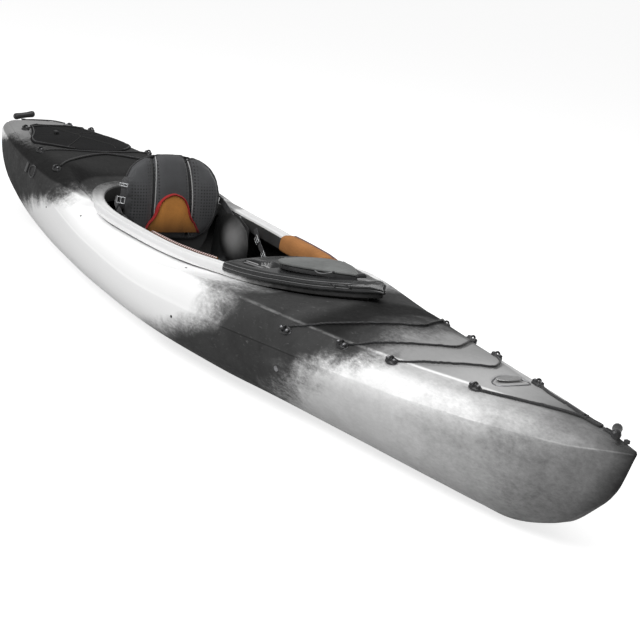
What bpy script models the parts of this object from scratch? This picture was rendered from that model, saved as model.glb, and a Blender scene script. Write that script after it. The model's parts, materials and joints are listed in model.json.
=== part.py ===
"""Recreational sit-in kayak.

Metres, +X to the bow, +Y to port, +Z up. The origin is on the floor under the middle of the hull.
The hull is one moulded shell. Everything fastened to it is placed by casting rays at its faces.
"""

import math

import bmesh
import bpy
import numpy as np
from mathutils import Matrix, Vector
from mathutils.bvhtree import BVHTree

SIDES = ((-1, "starboard"), (1, "port"))

# Hull lines, as (x, value) points that a smooth curve runs through
SHEER_Y = [
    (-1.905, 0.032), (-1.75, 0.127), (-1.5, 0.201), (-1.2, 0.268), (-0.8, 0.334), (-0.4, 0.377),
    (0.0, 0.394), (0.4, 0.361), (0.8, 0.297), (1.2, 0.239), (1.5, 0.171), (1.75, 0.079), (1.88, 0.014),
    (1.905, 0.005),
]
SHEER_Z = [
    (-1.905, 0.28), (-1.75, 0.303), (-1.5, 0.306), (-1.2, 0.29), (-0.8, 0.251), (-0.4, 0.213),
    (0.0, 0.196), (0.4, 0.205), (0.8, 0.224), (1.2, 0.253), (1.5, 0.28), (1.75, 0.305), (1.88, 0.331),
    (1.905, 0.336),
]
KEEL_Z = [
    (-1.905, 0.25), (-1.8, 0.119), (-1.6, 0.047), (-1.2, 0.013), (-0.75, 0.0), (0.75, 0.0),
    (1.2, 0.006), (1.5, 0.014), (1.7, 0.071), (1.8, 0.149), (1.87, 0.229), (1.905, 0.329),
]
EDGE_Y = [
    (-1.905, 0.024), (-1.75, 0.1), (-1.5, 0.18), (-1.2, 0.245), (-0.95, 0.29), (-0.8, 0.315),
    (-0.4, 0.338), (0.0, 0.345), (0.3, 0.324), (0.6, 0.274), (0.9, 0.213), (1.2, 0.141), (1.5, 0.063),
    (1.75, 0.016), (1.905, 0.003),
]
EDGE_Z = [
    (-1.905, 0.296), (-1.75, 0.3335), (-1.5, 0.345), (-1.2, 0.335), (-0.95, 0.322), (-0.8, 0.3),
    (-0.6, 0.275), (-0.4, 0.262), (0.0, 0.27), (0.3, 0.299), (0.6, 0.301), (0.9, 0.307), (1.2, 0.32),
    (1.5, 0.339), (1.75, 0.352), (1.905, 0.341),
]
CROWN_Z = [
    (-1.905, 0.303), (-1.8, 0.33), (-1.65, 0.356), (-1.5, 0.36), (-1.1, 0.364), (-0.8, 0.355),
    (-0.62, 0.345), (-0.52, 0.285), (-0.4, 0.275), (0.0, 0.275), (0.2, 0.284), (0.4, 0.303), (0.6, 0.333),
    (0.8, 0.362), (0.98, 0.362), (1.15, 0.356), (1.33, 0.357), (1.42, 0.349), (1.52, 0.35), (1.7, 0.356),
    (1.8, 0.356), (1.905, 0.345),
]
CROWN_POWER = [(-1.905, 4.0), (-0.6, 5.0), (0.2, 2.4), (1.905, 2.2)]
BILGE_POWER = [(-1.905, 2.03), (-1.0, 2.67), (0.35, 2.7), (0.6, 2.5), (1.2, 2.2), (1.905, 2.08)]
WALL = 0.006
KEEL_FLAT = 0.04
BILGE_ANGLES = [64, 51, 39, 28, 18, 8, 0]
DECK_SHARES = [0.93, 0.82, 0.68, 0.52, 0.35, 0.18]
STATION_X = [
    -1.905, -1.88, -1.84, -1.78, -1.7, -1.62, -1.55, -1.48, -1.4, -1.32, -1.24, -1.17, -1.1, -1.04,
    -0.98, -0.92, -0.86, -0.8, -0.74, -0.68, -0.62, -0.57, -0.52, -0.42, -0.28, -0.1, 0.1, 0.25, 0.4,
    0.55, 0.7, 0.82, 0.95, 1.1, 1.25, 1.4, 1.52, 1.62, 1.7, 1.77, 1.825, 1.865, 1.89, 1.905,
]
CAVITY_AFT = -1.79
CAVITY_FORE = 1.71

# Tankwell behind the cockpit, and the moat between it and the cockpit rim
WELL_X = -1.33
WELL_HALF_LENGTH = 0.2
WELL_HALF_WIDTH = 0.165
WELL_DEPTH = 0.085
CREST_X = -0.55
CREST_LENGTH = 0.55
CREST_HALF_WIDTH = 0.275
MOAT_FLOOR_Z = 0.289

# Cockpit rim: outer outline, inner outline and the height of its top
RIM_MID_X = -0.399
RIM_AFT_X = -0.791
RIM_FORE_X = 0.787
RIM_HALF_WIDTH = 0.287
RIM_BAND = 0.043
RIM_FORE_BAND = 0.075
RIM_Z = [
    (-0.791, 0.335), (-0.6, 0.315), (-0.4, 0.307), (-0.09, 0.307), (0.086, 0.313), (0.215, 0.322),
    (0.31, 0.327), (0.415, 0.338), (0.485, 0.349), (0.575, 0.363), (0.655, 0.379), (0.728, 0.395),
    (0.787, 0.41),
]
RIM_SEGMENTS = 56
LIP_DROP = 0.03
SKIRT_DROP = 0.016

# Work deck over the front of the cockpit
PANEL_AFT_X = 0.235
PANEL_OVERHANG = 0.007
PANEL_RISE = 0.009
PANEL_CROWN = 0.014
PANEL_SHEET = 0.005
PANEL_NOSE = 0.01
PANEL_CORNER = 0.024
NOSE_REACH = 0.04
NOSE_DROP = 0.01
PANEL_STATION_SHARES = [
    0.0, 0.007, 0.027, 0.116, 0.222, 0.329, 0.436, 0.543, 0.65, 0.738, 0.819, 0.89, 0.943, 0.979, 1.0,
]
SKIN_GAP = 0.0016
TRAY_X = (0.258, 0.345)
TRAY_Y = (0.05, 0.148)
TRAY_TOP_Z = 0.334
TRAY_DEPTH = 0.022
LID_AFT_X = 0.305
LID_SEAT_Z = 0.355
LID_SLOPE = 0.142
LID_LENGTH = 0.36
LID_FULLNESS = 0.151
LID_POINT = 0.7
LID_PROFILE = [
    (0.985, 0.0024), (1.0, 0.0035), (1.0, 0.009), (0.96, 0.0125), (0.8, 0.016), (0.5, 0.019), (0.2, 0.02),
]
BOSS_DEPTH = 0.0123
LUG_Y = (0.037, 0.046)
LATCH_HALF_WIDTH = 0.017
LATCH_REACH = 0.014
LATCH_FOOT = 0.0004
LID_HINGE = (-0.0055, 0, 0.005)
GLOVE_BOX_DEPTH = 0.06

# Seat
PAN_FLOOR_Z = 0.045
PAN_SHEET = 0.005
PAN_HALF_WIDTH = 0.226
PAN_TOP_Z = [
    (-0.58, 0.25), (-0.56, 0.288), (-0.46, 0.3), (-0.43, 0.298), (-0.36, 0.277), (-0.352, 0.268),
    (-0.346, 0.115),
    (-0.2, 0.09), (-0.11, 0.07), (-0.09, 0.062),
]
BACK_HINGE = (-0.525, 0.0, 0.115)
BACK_LEAN = 12.0
BACK_PAD_THICKNESS = 0.05
BACK_CHANNEL_Y = 0.072
BACK_CHANNEL_DEPTH = 0.012
CUSHION_X = (-0.5, -0.125)
CUSHION_HINGE = (-0.5, 0.0, 0.0505)
CUSHION_HALF_WIDTH = 0.185
CUSHION_THICKNESS = 0.045
PAD_SHARES = [
    -1, -0.96, -0.85, -0.68, -0.5, -0.42, -0.36, -0.3, -0.2, 0, 0.2, 0.3, 0.36, 0.42, 0.5, 0.68, 0.85,
    0.96, 1,
]
BACK_OUTLINE = [
    (0.07, 0.1), (0.085, 0.135), (0.11, 0.163), (0.17, 0.19), (0.235, 0.199), (0.295, 0.194), (0.33, 0.178),
    (0.353, 0.152), (0.37, 0.113), (0.38, 0.065),
]
BACK_FRAME_OUTLINE = [
    (0.0058, 0.1), (0.05, 0.14), (0.12, 0.165), (0.2, 0.175), (0.29, 0.168), (0.335, 0.136), (0.362, 0.078),
]
BACK_ROW_SHARES = [0, 0.048, 0.13, 0.22, 0.32, 0.42, 0.53, 0.64, 0.75, 0.84, 0.91, 0.965, 1]
BACK_PLATE = 0.005
BACK_GAP = 0.0015
PATCH_EDGE = [
    (0.13, 0.09), (0.143, 0.077), (0.163, 0.066), (0.187, 0.059), (0.207, 0.047), (0.222, 0.03),
    (0.229, 0.011),
]
PATCH_SHEET = 0.0025
PATCH_LIFT = 0.0042
PATCH_DIP = 0.004
BORDER_WIDTH = 0.01
STRAP_ROUTE = [(-0.548, 0.205, 0.33), (-0.53, 0.213, 0.32), (-0.48, 0.218, 0.295), (-0.42, 0.218, 0.265)]
STRAP_WIDTH = 0.025
STRAP_SHEET = 0.0025

# Thigh pads: (share of the rim's band, rise) round each, and where they start and end on the outline
THIGH_PAD_REST = 0.0016
THIGH_PAD_PROFILE = {
    "port": [
        (0.03, 0.0016), (0.03, 0.009), (0.16, 0.0145), (0.55, 0.0165), (0.98, 0.014), (1.28, 0.002),
        (1.38, -0.022), (1.34, -0.046), (1.06, -0.049), (1.05, -0.012), (0.98, -0.001), (0.7, 0.0016),
    ],
    "starboard": [
        (0.87, -0.004), (0.87, 0.0014), (0.93, 0.0045), (1.02, 0.0045), (1.16, 0.002), (1.3, -0.005),
        (1.38, -0.022), (1.34, -0.046), (1.06, -0.049), (1.05, -0.012), (1.04, -0.0074), (0.95, -0.0062),
    ],
}
THIGH_PAD_TURNS = {"port": (0.222, 0.53), "starboard": (0.165, 0.505)}
THIGH_PAD_RUNS = [0, 0.08, 0.2, 0.34, 0.48, 0.62, 0.78, 0.91, 1]

# Foam pillars inside both ends
BOW_PILLAR_X = (1.0, 1.38)
STERN_PILLAR_X = (-1.44, -1.22)
PILLAR_HALF_WIDTH = 0.03

# Foot braces: rails along the inside of the hull, a pedal on each
RAIL_X = (0.5, 0.95)
RAIL_Z = 0.15
RAIL_HALF_HEIGHT = 0.012
RAIL_SHEET = 0.008
RAIL_LIFT = 0.011
RAIL_BOLT = (0.75, 0.165)
PEDAL_PLACE = 0.22
PEDAL_SHEET = 0.014
PEDAL_DEPTH = 0.075
PEDAL_HEIGHT = (-0.034, 0.06)

# Tankwell cover
COVER_HALF_WIDTH = [
    (-1.58, 0.06), (-1.55, 0.1), (-1.5, 0.116), (-1.41, 0.15), (-1.33, 0.19), (-1.28, 0.2),
    (-1.244, 0.19), (-1.2, 0.166), (-1.165, 0.14), (-1.13, 0.1), (-1.112, 0.065), (-1.104, 0.03),
]
COVER_SHEET = 0.003
COVER_LIFT = 0.0022
COVER_GAP = 0.0006
COVER_CROWN = 0.008

# Cords and fittings
CORD_RADIUS = 0.0028
BUNGEE_RADIUS = 0.004
SEAT_GAP = 0.0004
BOW_EYES = [(0.74, 0.281), (0.946, 0.225), (1.122, 0.18), (1.397, 0.105)]
AFT_EYES = [(-1.5, 0.139), (-1.16, 0.222), (-0.92, 0.262)]
STERN_CORD_EYE = (-1.65, 0.115)
CORD_LOCK_PLACE = (-1.36, -0.075)
CORD_LOCK_HALF = (0.011, 0.007)
CORD_LOCK_HEIGHT = 0.012
PARK_LOOP_PLACE = (-1.06, 0.293)
PARK_LOOP_HALF = (0.034, 0.02)
PARK_LOOP_RADIUS = 0.0025
PARK_HOOK_PLACE = (-1.128, 0.292)
PARK_HOOK_HALF = (0.013, 0.018)
PARK_HOOK_DEPTH = 0.006
BOW_TOGGLE_X = 1.827
BOW_TOGGLE_LEAN = (0.7, -0.7, 0.08)
BOW_ANCHOR_X = 1.868
BOW_ANCHOR_HALF = (0.006, 0.005)
BOW_ANCHOR_HEIGHT = 0.009
STERN_TOGGLE_X = -1.84
STERN_TOGGLE_LEAN = (0, 0.985, 0.17)
STERN_TOGGLE_RISE = 0.0022
STERN_ANCHOR_HALF = (0.006, 0.008)
BOW_CORD_REACH = [0.238, 0.203, 0.196]
CORD_BEND = 1.45
CORD_LEAD = (0.011, 0.0145)
BUNGEE_LEAD = (-0.011, 0.017)
EYE_LENGTH = 0.04
EYE_WIDTH = 0.023
EYE_HEIGHT = 0.009
LINE_LEAD = (EYE_LENGTH / 2 + 0.0045, 0.003)
TOGGLE_LENGTH = 0.09
SWING_GAP = 0.0014
BADGE_X = 1.4
BADGE_SIZE = (0.086, 0.034)
TOGGLE_RADIUS = 0.0135

COLOURS = {
    "hull_plastic": ((0.62, 0.62, 0.62, 1), 0.35, 0.0),
    "panel_plastic": ((0.045, 0.045, 0.047, 1), 0.4, 0.0),
    "lid_plastic": ((0.16, 0.165, 0.16, 1), 0.5, 0.0),
    "black_plastic": ((0.02, 0.02, 0.022, 1), 0.45, 0.0),
    "rubber_black": ((0.02, 0.02, 0.02, 1), 0.8, 0.0),
    "cord_black": ((0.018, 0.018, 0.018, 1), 0.85, 0.0),
    "seat_fabric": ((0.06, 0.06, 0.062, 1), 0.9, 0.0),
    "orange_fabric": ((0.62, 0.25, 0.05, 1), 0.85, 0.0),
    "red_trim": ((0.45, 0.03, 0.02, 1), 0.8, 0.0),
    "cover_fabric": ((0.03, 0.03, 0.032, 1), 0.85, 0.0),
    "webbing": ((0.12, 0.12, 0.12, 1), 0.8, 0.0),
    "foam": ((0.75, 0.76, 0.78, 1), 0.95, 0.0),
    "alloy": ((0.7, 0.71, 0.72, 1), 0.35, 1.0),
    "badge_metal": ((0.5, 0.5, 0.5, 1), 0.4, 1.0),
}


def clear_scene():
    for obj in list(bpy.data.objects):
        bpy.data.objects.remove(obj, do_unlink=True)


def new_collection(name, hidden):
    collection = bpy.data.collections.new(name)
    bpy.context.scene.collection.children.link(collection)
    collection.hide_render = hidden
    return collection


def make_materials():
    made = {}
    for name, (colour, roughness, metallic) in COLOURS.items():
        material = bpy.data.materials.new(name)
        material.use_nodes = True
        shader = material.node_tree.nodes["Principled BSDF"]
        shader.inputs["Base Color"].default_value = colour
        shader.inputs["Roughness"].default_value = roughness
        shader.inputs["Metallic"].default_value = metallic
        material.diffuse_color = colour
        made[name] = material
    return made


def smooth_through(points, at):
    """Monotone cubic curve through (x, value) points."""
    xs = np.array([p[0] for p in points])
    ys = np.array([p[1] for p in points])
    steps = np.diff(xs)
    slopes = np.diff(ys) / steps
    tangents = np.zeros(len(xs))
    for i in range(1, len(xs) - 1):
        before, after = slopes[i - 1], slopes[i]
        if before * after > 0:
            w1 = 2 * steps[i] + steps[i - 1]
            w2 = steps[i] + 2 * steps[i - 1]
            tangents[i] = (w1 + w2) / (w1 / before + w2 / after)
    tangents[0] = slopes[0]
    tangents[-1] = slopes[-1]
    at = min(max(at, xs[0]), xs[-1])
    i = min(max(int(np.searchsorted(xs, at)) - 1, 0), len(xs) - 2)
    t = (at - xs[i]) / steps[i]
    return float(
        (1 + 2 * t) * (1 - t) ** 2 * ys[i]
        + t * (1 - t) ** 2 * steps[i] * tangents[i]
        + t * t * (3 - 2 * t) * ys[i + 1]
        + t * t * (t - 1) * steps[i] * tangents[i + 1]
    )


def eased(t):
    t = min(max(t, 0.0), 1.0)
    return t * t * (3 - 2 * t)


def link(obj, collection, material, smooth):
    collection.objects.link(obj)
    if material:
        obj.data.materials.append(MATERIALS[material])
    if smooth:
        for polygon in obj.data.polygons:
            polygon.use_smooth = True
    return obj


def mesh_object(name, verts, faces, material=None, collection=None, smooth=False):
    mesh = bpy.data.meshes.new(name)
    mesh.from_pydata([tuple(v) for v in verts], [], faces)
    shape = bmesh.new()
    shape.from_mesh(mesh)
    bmesh.ops.recalc_face_normals(shape, faces=shape.faces)
    shape.to_mesh(mesh)
    shape.free()
    obj = bpy.data.objects.new(name, mesh)
    return link(obj, collection or KAYAK, material, smooth)


def loft(name, sections, material=None, collection=None, smooth=False, ring=False):
    """Closed loops of equal length joined in order. A ring joins the last to the first."""
    count = len(sections[0])
    verts = [point for section in sections for point in section]
    faces = []
    pairs = len(sections) if ring else len(sections) - 1
    for i in range(pairs):
        a = i * count
        b = ((i + 1) % len(sections)) * count
        for j in range(count):
            k = (j + 1) % count
            faces.append((a + j, a + k, b + k, b + j))
    if not ring:
        faces.append(tuple(reversed(range(count))))
        last = (len(sections) - 1) * count
        faces.append(tuple(range(last, last + count)))
    return mesh_object(name, verts, faces, material, collection, smooth)


def boxed(name, low, high, material=None, collection=None, turn=None, bevel=0.0):
    corners = [
        Vector((x, y, z))
        for x in (low[0], high[0])
        for y in (low[1], high[1])
        for z in (low[2], high[2])
    ]
    if turn:
        corners = [turn @ corner for corner in corners]
    faces = [(0, 1, 3, 2), (4, 6, 7, 5), (0, 4, 5, 1), (2, 3, 7, 6), (0, 2, 6, 4), (1, 5, 7, 3)]
    obj = mesh_object(name, corners, faces, material, collection)
    if bevel:
        add_bevel(obj, bevel, 2)
    return obj


def add_bevel(obj, width, segments):
    modifier = obj.modifiers.new("bevel", "BEVEL")
    modifier.width = width
    modifier.segments = segments
    modifier.limit_method = "ANGLE"


def turned(name, profile, frame, sides, material=None, collection=None, flat=1.0):
    """Round body from (radius, height) points. The frame's Z is its axis, and the ends are flat."""
    sections = []
    for radius, height in profile:
        ring = []
        for j in range(sides):
            angle = 2 * math.pi * j / sides
            ring.append(frame @ Vector((radius * math.cos(angle), radius * flat * math.sin(angle), height)))
        sections.append(ring)
    return loft(name, sections, material, collection, smooth=True)


def frame_along(origin, axis, up=(0, 0, 1)):
    """Matrix whose Z runs along the axis and whose X is as near to up as it can be."""
    z = Vector(axis).normalized()
    x = Vector(up) - z * Vector(up).dot(z)
    if x.length < 1e-6:
        x = Vector((1, 0, 0)) - z * z.x
    x.normalize()
    y = z.cross(x)
    matrix = Matrix((x, y, z)).transposed().to_4x4()
    matrix.translation = Vector(origin)
    return matrix


def boolean(obj, other, operation):
    modifier = obj.modifiers.new(operation.lower(), "BOOLEAN")
    modifier.operation = operation
    modifier.solver = "EXACT"
    modifier.object = other
    other.display_type = "WIRE"
    return modifier


def baked(obj):
    """Replaces the object's mesh by what its modifiers make of it."""
    graph = bpy.context.evaluated_depsgraph_get()
    mesh = bpy.data.meshes.new_from_object(obj.evaluated_get(graph))
    obj.modifiers.clear()
    obj.data = mesh
    return obj


def tube(name, points, radius, material, resolution=2, closed=False):
    curve = bpy.data.curves.new(name, "CURVE")
    curve.dimensions = "3D"
    curve.bevel_depth = radius
    curve.bevel_resolution = resolution
    curve.use_fill_caps = True
    spline = curve.splines.new("POLY")
    spline.points.add(len(points) - 1)
    for point, place in zip(spline.points, points):
        point.co = (place[0], place[1], place[2], 1)
    spline.use_cyclic_u = closed
    spline.use_smooth = True
    obj = bpy.data.objects.new(name, curve)
    KAYAK.objects.link(obj)
    curve.materials.append(MATERIALS[material])
    return obj


def rounded_route(route, step):
    """Even points along a smooth curve through the route."""
    points = [Vector(p) for p in route]
    ends = [2 * points[0] - points[1]] + points + [2 * points[-1] - points[-2]]
    fine = []
    for i in range(1, len(ends) - 2):
        a, b, c, d = ends[i - 1 : i + 3]
        for k in range(24):
            t = k / 24
            fine.append(
                0.5
                * (
                    2 * b
                    + (c - a) * t
                    + (2 * a - 5 * b + 4 * c - d) * t * t
                    + (3 * b - a - 3 * c + d) * t ** 3
                )
            )
    fine.append(points[-1])
    lengths = [0.0]
    for a, b in zip(fine, fine[1:]):
        lengths.append(lengths[-1] + (b - a).length)
    count = max(2, round(lengths[-1] / step))
    even = []
    for k in range(count + 1):
        want = lengths[-1] * k / count
        i = min(int(np.searchsorted(lengths, want)), len(fine) - 1)
        i = max(i, 1)
        span = lengths[i] - lengths[i - 1]
        share = (want - lengths[i - 1]) / span if span else 0.0
        even.append(fine[i - 1].lerp(fine[i], share))
    return even


# Hull


def rim_point(angle, share):
    """Point of the rim's outline. Angle 0 is widest, +90 is the fore tip and -90 the aft tip."""
    side = math.cos(angle)
    along = abs(math.sin(angle))
    half = RIM_HALF_WIDTH - RIM_BAND * share
    if math.sin(angle) >= 0:
        reach = RIM_FORE_X - RIM_FORE_BAND * share - RIM_MID_X
        return RIM_MID_X + reach * along ** (2 / 2.13), half * max(side, 0.0) ** 1.66
    reach = RIM_MID_X - RIM_AFT_X - RIM_BAND * share
    return RIM_MID_X - reach * along ** (2 / 2.61), half * max(side, 0.0) ** (2 / 2.56)


def rim_half_width(x, share=0.0):
    """Half-width of the rim's outline at x."""
    half = RIM_HALF_WIDTH - RIM_BAND * share
    if x >= RIM_MID_X:
        u = (x - RIM_MID_X) / (RIM_FORE_X - RIM_FORE_BAND * share - RIM_MID_X)
        return half * max(1 - u ** 2.13, 0.0) ** 0.83
    u = (RIM_MID_X - x) / (RIM_MID_X - RIM_AFT_X - RIM_BAND * share)
    return half * max(1 - u ** 2.61, 0.0) ** (1 / 2.56)


def rim_level(x, y):
    """1 on the rim's outer outline aft of its widest place, less inside and more outside."""
    u = abs(x - RIM_MID_X) / (RIM_MID_X - RIM_AFT_X)
    return (u ** 2.6 + (abs(y) / RIM_HALF_WIDTH) ** 2.6) ** (1 / 2.6)


def crest_level(x, y):
    """1 on the crest round the moat."""
    u = abs(x - CREST_X) / CREST_LENGTH
    return (u ** 2.6 + (abs(y) / CREST_HALF_WIDTH) ** 2.6) ** (1 / 2.6)


def deck_base(x, y):
    edge = smooth_through(EDGE_Y, x)
    low = smooth_through(EDGE_Z, x)
    top = smooth_through(CROWN_Z, x)
    share = min(abs(y) / edge, 1.0)
    return low + (top - low) * (1 - share ** smooth_through(CROWN_POWER, x))


def deck_z(x, y):
    """Outside of the deck, with the moat and the tankwell."""
    z = deck_base(x, y)
    if x < CREST_X:
        out_of_rim = max(rim_level(x, y) - 1, 0.0)
        to_crest = max(1 - crest_level(x, y), 0.0)
        if to_crest > 0:
            share = out_of_rim / (out_of_rim + to_crest)
            floor = min(MOAT_FLOOR_Z, z)
            fade = eased((CREST_X - x) / 0.08)
            z -= (z - floor) * (1 - eased((share - 0.3) / 0.7)) * fade
    well = (
        (abs(x - WELL_X) / WELL_HALF_LENGTH) ** 3 + (abs(y) / WELL_HALF_WIDTH) ** 3
    ) ** (1 / 3)
    z -= WELL_DEPTH * eased((1 - well) / 0.35)
    return z


def hull_half_section(x, inset):
    """(y, z) points from the keel to the middle of the deck."""
    half = smooth_through(SHEER_Y, x) - inset
    sheer = smooth_through(SHEER_Z, x)
    keel = smooth_through(KEEL_Z, x) + inset
    power = 2 / smooth_through(BILGE_POWER, x)
    edge_y = max(smooth_through(EDGE_Y, x) - inset * 0.8, 0.0015)
    edge_z = smooth_through(EDGE_Z, x) - inset
    points = [(min(KEEL_FLAT, half * 0.2), keel)]
    for degrees in BILGE_ANGLES:
        angle = math.radians(degrees)
        points.append((
            half * math.cos(angle) ** power,
            sheer - (sheer - keel) * math.sin(angle) ** power,
        ))
    bend_y = half - 0.2 * (half - edge_y)
    bend_z = sheer + 0.7 * (edge_z - sheer)
    for t in (0.35, 0.7):
        points.append((
            (1 - t) ** 2 * half + 2 * t * (1 - t) * bend_y + t * t * edge_y,
            (1 - t) ** 2 * sheer + 2 * t * (1 - t) * bend_z + t * t * edge_z,
        ))
    points.append((edge_y, edge_z))
    outer_edge = smooth_through(EDGE_Y, x)
    for share in DECK_SHARES:
        points.append((edge_y * share, deck_z(x, outer_edge * share) - inset))
    return points


def hull_section(x, inset):
    half = hull_half_section(x, inset)
    keel = half[0][1]
    crown = deck_z(x, 0.0) - inset
    port = [(x, y, z) for y, z in half]
    starboard = [(x, -y, z) for y, z in reversed(half)]
    return [(x, 0.0, keel)] + port + [(x, 0.0, crown)] + starboard


def rim_top(x):
    return smooth_through(RIM_Z, x)


def rim_turns():
    return [2 * math.pi * i / RIM_SEGMENTS for i in range(RIM_SEGMENTS)]


def rim_place(turn, share):
    """Outline point for a turn of 0 to 360 degrees, counted from the widest place on port."""
    turn = turn % (2 * math.pi)
    if turn > math.pi:
        turn -= 2 * math.pi
    if abs(turn) <= math.pi / 2:
        return rim_point(turn, share)
    mirrored = math.copysign(math.pi, turn) - turn
    x, y = rim_point(mirrored, share)
    return x, -y


def rim_section(turn):
    x_out, y_out = rim_place(turn, 0.0)
    x_hole, y_hole = rim_place(turn, 0.93)
    deck_under = deck_z(x_hole, y_hole)
    foot = min(rim_top(x_out) - 0.05, deck_under - 0.014)
    profile = [
        (0.0, -LIP_DROP), (0.0, -0.008), (0.14, 0.0), (0.72, -0.001), (1.0, -0.01), (1.0, None),
        (0.86, None), (0.86, -0.015), (0.17, -0.013), (0.15, -LIP_DROP),
    ]
    points = []
    for share, drop in profile:
        x, y = rim_place(turn, share)
        points.append((x, y, foot if drop is None else rim_top(x_out) + drop))
    return points


def make_hull():
    outer = loft("hull_shell", [hull_section(x, 0.0) for x in STATION_X], "hull_plastic")
    inside = [CAVITY_AFT] + [x for x in STATION_X if CAVITY_AFT + 0.02 < x < CAVITY_FORE - 0.02]
    cavity = loft("cavity", [hull_section(x, WALL) for x in inside + [CAVITY_FORE]], collection=CUTTERS)
    hole = []
    for z in (0.14, 0.6):
        hole.append([(*rim_place(turn, 0.93), z) for turn in rim_turns()])
    cockpit = loft("cockpit_hole", hole, collection=CUTTERS)
    rim = loft("cockpit_rim", [rim_section(turn) for turn in rim_turns()], collection=CUTTERS, ring=True)
    boolean(outer, cavity, "DIFFERENCE")
    boolean(outer, cockpit, "DIFFERENCE")
    boolean(outer, rim, "UNION")
    return baked(outer)


# Placing things on the hull


def drop_on(tree, x, y):
    """Height and normal of the hull right under a place above it."""
    hit, normal, _, _ = tree.ray_cast(Vector((x, y, 1.0)), Vector((0, 0, -1)))
    return hit, normal


def floor_of(tree, x, y, start=0.12):
    hit, _, _, _ = tree.ray_cast(Vector((x, y, start)), Vector((0, 0, -1)))
    return hit.z


def side_of(tree, x, z, side):
    """Point and normal of the hull's outside at this height."""
    hit, normal, _, _ = tree.ray_cast(Vector((x, side, z)), Vector((0, -side, 0)))
    return hit, normal


def wall_of(tree, x, z, side):
    """Point of the hull's inside at this height."""
    hit, _, _, _ = tree.ray_cast(Vector((x, 0.0, z)), Vector((0, side, 0)))
    return hit


def laid_route(tree, route, radius, step):
    """A cord's points, lifted so that it lies just clear of the deck all the way."""
    flat = rounded_route([(x, y, 0.0) for x, y in route], step)
    places = []
    for point in flat:
        hit, normal = drop_on(tree, point.x, point.y)
        places.append(hit + Vector((0, 0, (radius + SEAT_GAP) / max(normal.z, 0.4))))
    for _ in range(4):
        for a, b in zip(places, places[1:]):
            short = 0.0
            for k in range(1, 6):
                mid = a.lerp(b, k / 6)
                hit, normal = drop_on(tree, mid.x, mid.y)
                clear = (mid.z - hit.z) * normal.z
                short = max(short, (radius + SEAT_GAP - clear) / max(normal.z, 0.4))
            a.z += max(short, 0.0) * 0.6
            b.z += max(short, 0.0) * 0.6
    return places


def seated(tree, frame, footprint):
    """The frame moved along its own Z until the footprint's nearest point is just clear of the hull."""
    normal = frame.col[2].to_3d()
    least = 1.0
    for x, y in footprint:
        start = frame @ Vector((x, y, 0.05))
        hit, _, _, _ = tree.ray_cast(start, -normal)
        if hit:
            least = min(least, (start - hit).length - 0.05)
    return Matrix.Translation(normal * (SEAT_GAP - least)) @ frame


def ellipse(half_x, half_y, sides):
    turns = [2 * math.pi * j / sides for j in range(sides)]
    return [(half_x * math.cos(t), half_y * math.sin(t)) for t in turns]


def box_foot(half_x, half_y):
    return [(x * half_x, y * half_y) for x in (-1, -0.5, 0, 0.5, 1) for y in (-1, -0.5, 0, 0.5, 1)]


def make_eye(name, tree, x, y):
    """Oval pad with a raised saddle, laid on the deck. Gives its place."""
    hit, normal = drop_on(tree, x, y)
    frame = frame_along(hit, normal, (1, 0, 0))
    long_half = EYE_LENGTH / 2
    foot = ellipse(long_half, EYE_WIDTH / 2, 20) + ellipse(long_half / 2, EYE_WIDTH / 4, 10)
    frame = seated(tree, frame, foot)
    profile = [
        (long_half, 0.0), (long_half, 0.003), (long_half * 0.72, 0.0045), (long_half * 0.5, EYE_HEIGHT),
    ]
    turned(name, profile, frame, 10, "black_plastic", flat=EYE_WIDTH / EYE_LENGTH)
    return frame.translation


def make_eyes(tree):
    places = {}
    for row, eyes in (("bow", BOW_EYES), ("aft", AFT_EYES)):
        for i, (x, y) in enumerate(eyes):
            for side, mark in SIDES:
                name = f"{row}_eye_{mark}_{i + 1}"
                places[name] = make_eye(name, tree, x, side * y)
    return places


def bowed_route(eye, lead, reach, bend=CORD_BEND):
    """Plan route between an eye and its twin, bowed along X by the reach. Lead is where it leaves the eye."""
    x, y = eye.x + lead[0], abs(eye.y) - lead[1]
    shares = [1.0, 0.82, 0.62, 0.42, 0.2, 0.0]
    half = [(x + reach * (1 - share ** bend), -y * share) for share in shares]
    return half + [(px, -py) for px, py in reversed(half[:-1])]


def make_cords(tree, eyes):
    for i, reach in enumerate(BOW_CORD_REACH):
        eye = eyes[f"bow_eye_starboard_{i + 1}"]
        route = laid_route(tree, bowed_route(eye, CORD_LEAD, reach), CORD_RADIUS, 0.027)
        tube(f"bow_cord_{i + 1}", route, CORD_RADIUS, "cord_black")
    strand = CORD_RADIUS + 0.0006
    eye = eyes["bow_eye_starboard_4"]
    half = [
        (eye.x + LINE_LEAD[0], eye.y + LINE_LEAD[1]), (1.5, -0.07), (1.586, -0.042), (1.66, -0.018),
        (1.71, -strand), (1.745, -strand), (1.762, -strand),
    ]
    turn = [(1.77, -strand * 0.85), (1.7735, 0.0), (1.77, strand * 0.85)]
    route = half + turn + [(x, -y) for x, y in reversed(half)]
    tube("bow_v_line", laid_route(tree, route, CORD_RADIUS, 0.011), CORD_RADIUS, "cord_black")

    eye = eyes["aft_eye_starboard_2"]
    route = laid_route(tree, bowed_route(eye, CORD_LEAD, 0.055, 1.9), CORD_RADIUS, 0.027)
    tube("cover_front_cord", route, CORD_RADIUS, "cord_black")
    eye = eyes["aft_eye_starboard_3"]
    route = laid_route(tree, bowed_route(eye, BUNGEE_LEAD, -0.138, 1.6), BUNGEE_RADIUS, 0.03)
    tube("crest_bungee", route, BUNGEE_RADIUS, "cord_black")


# Tankwell cover

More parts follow.
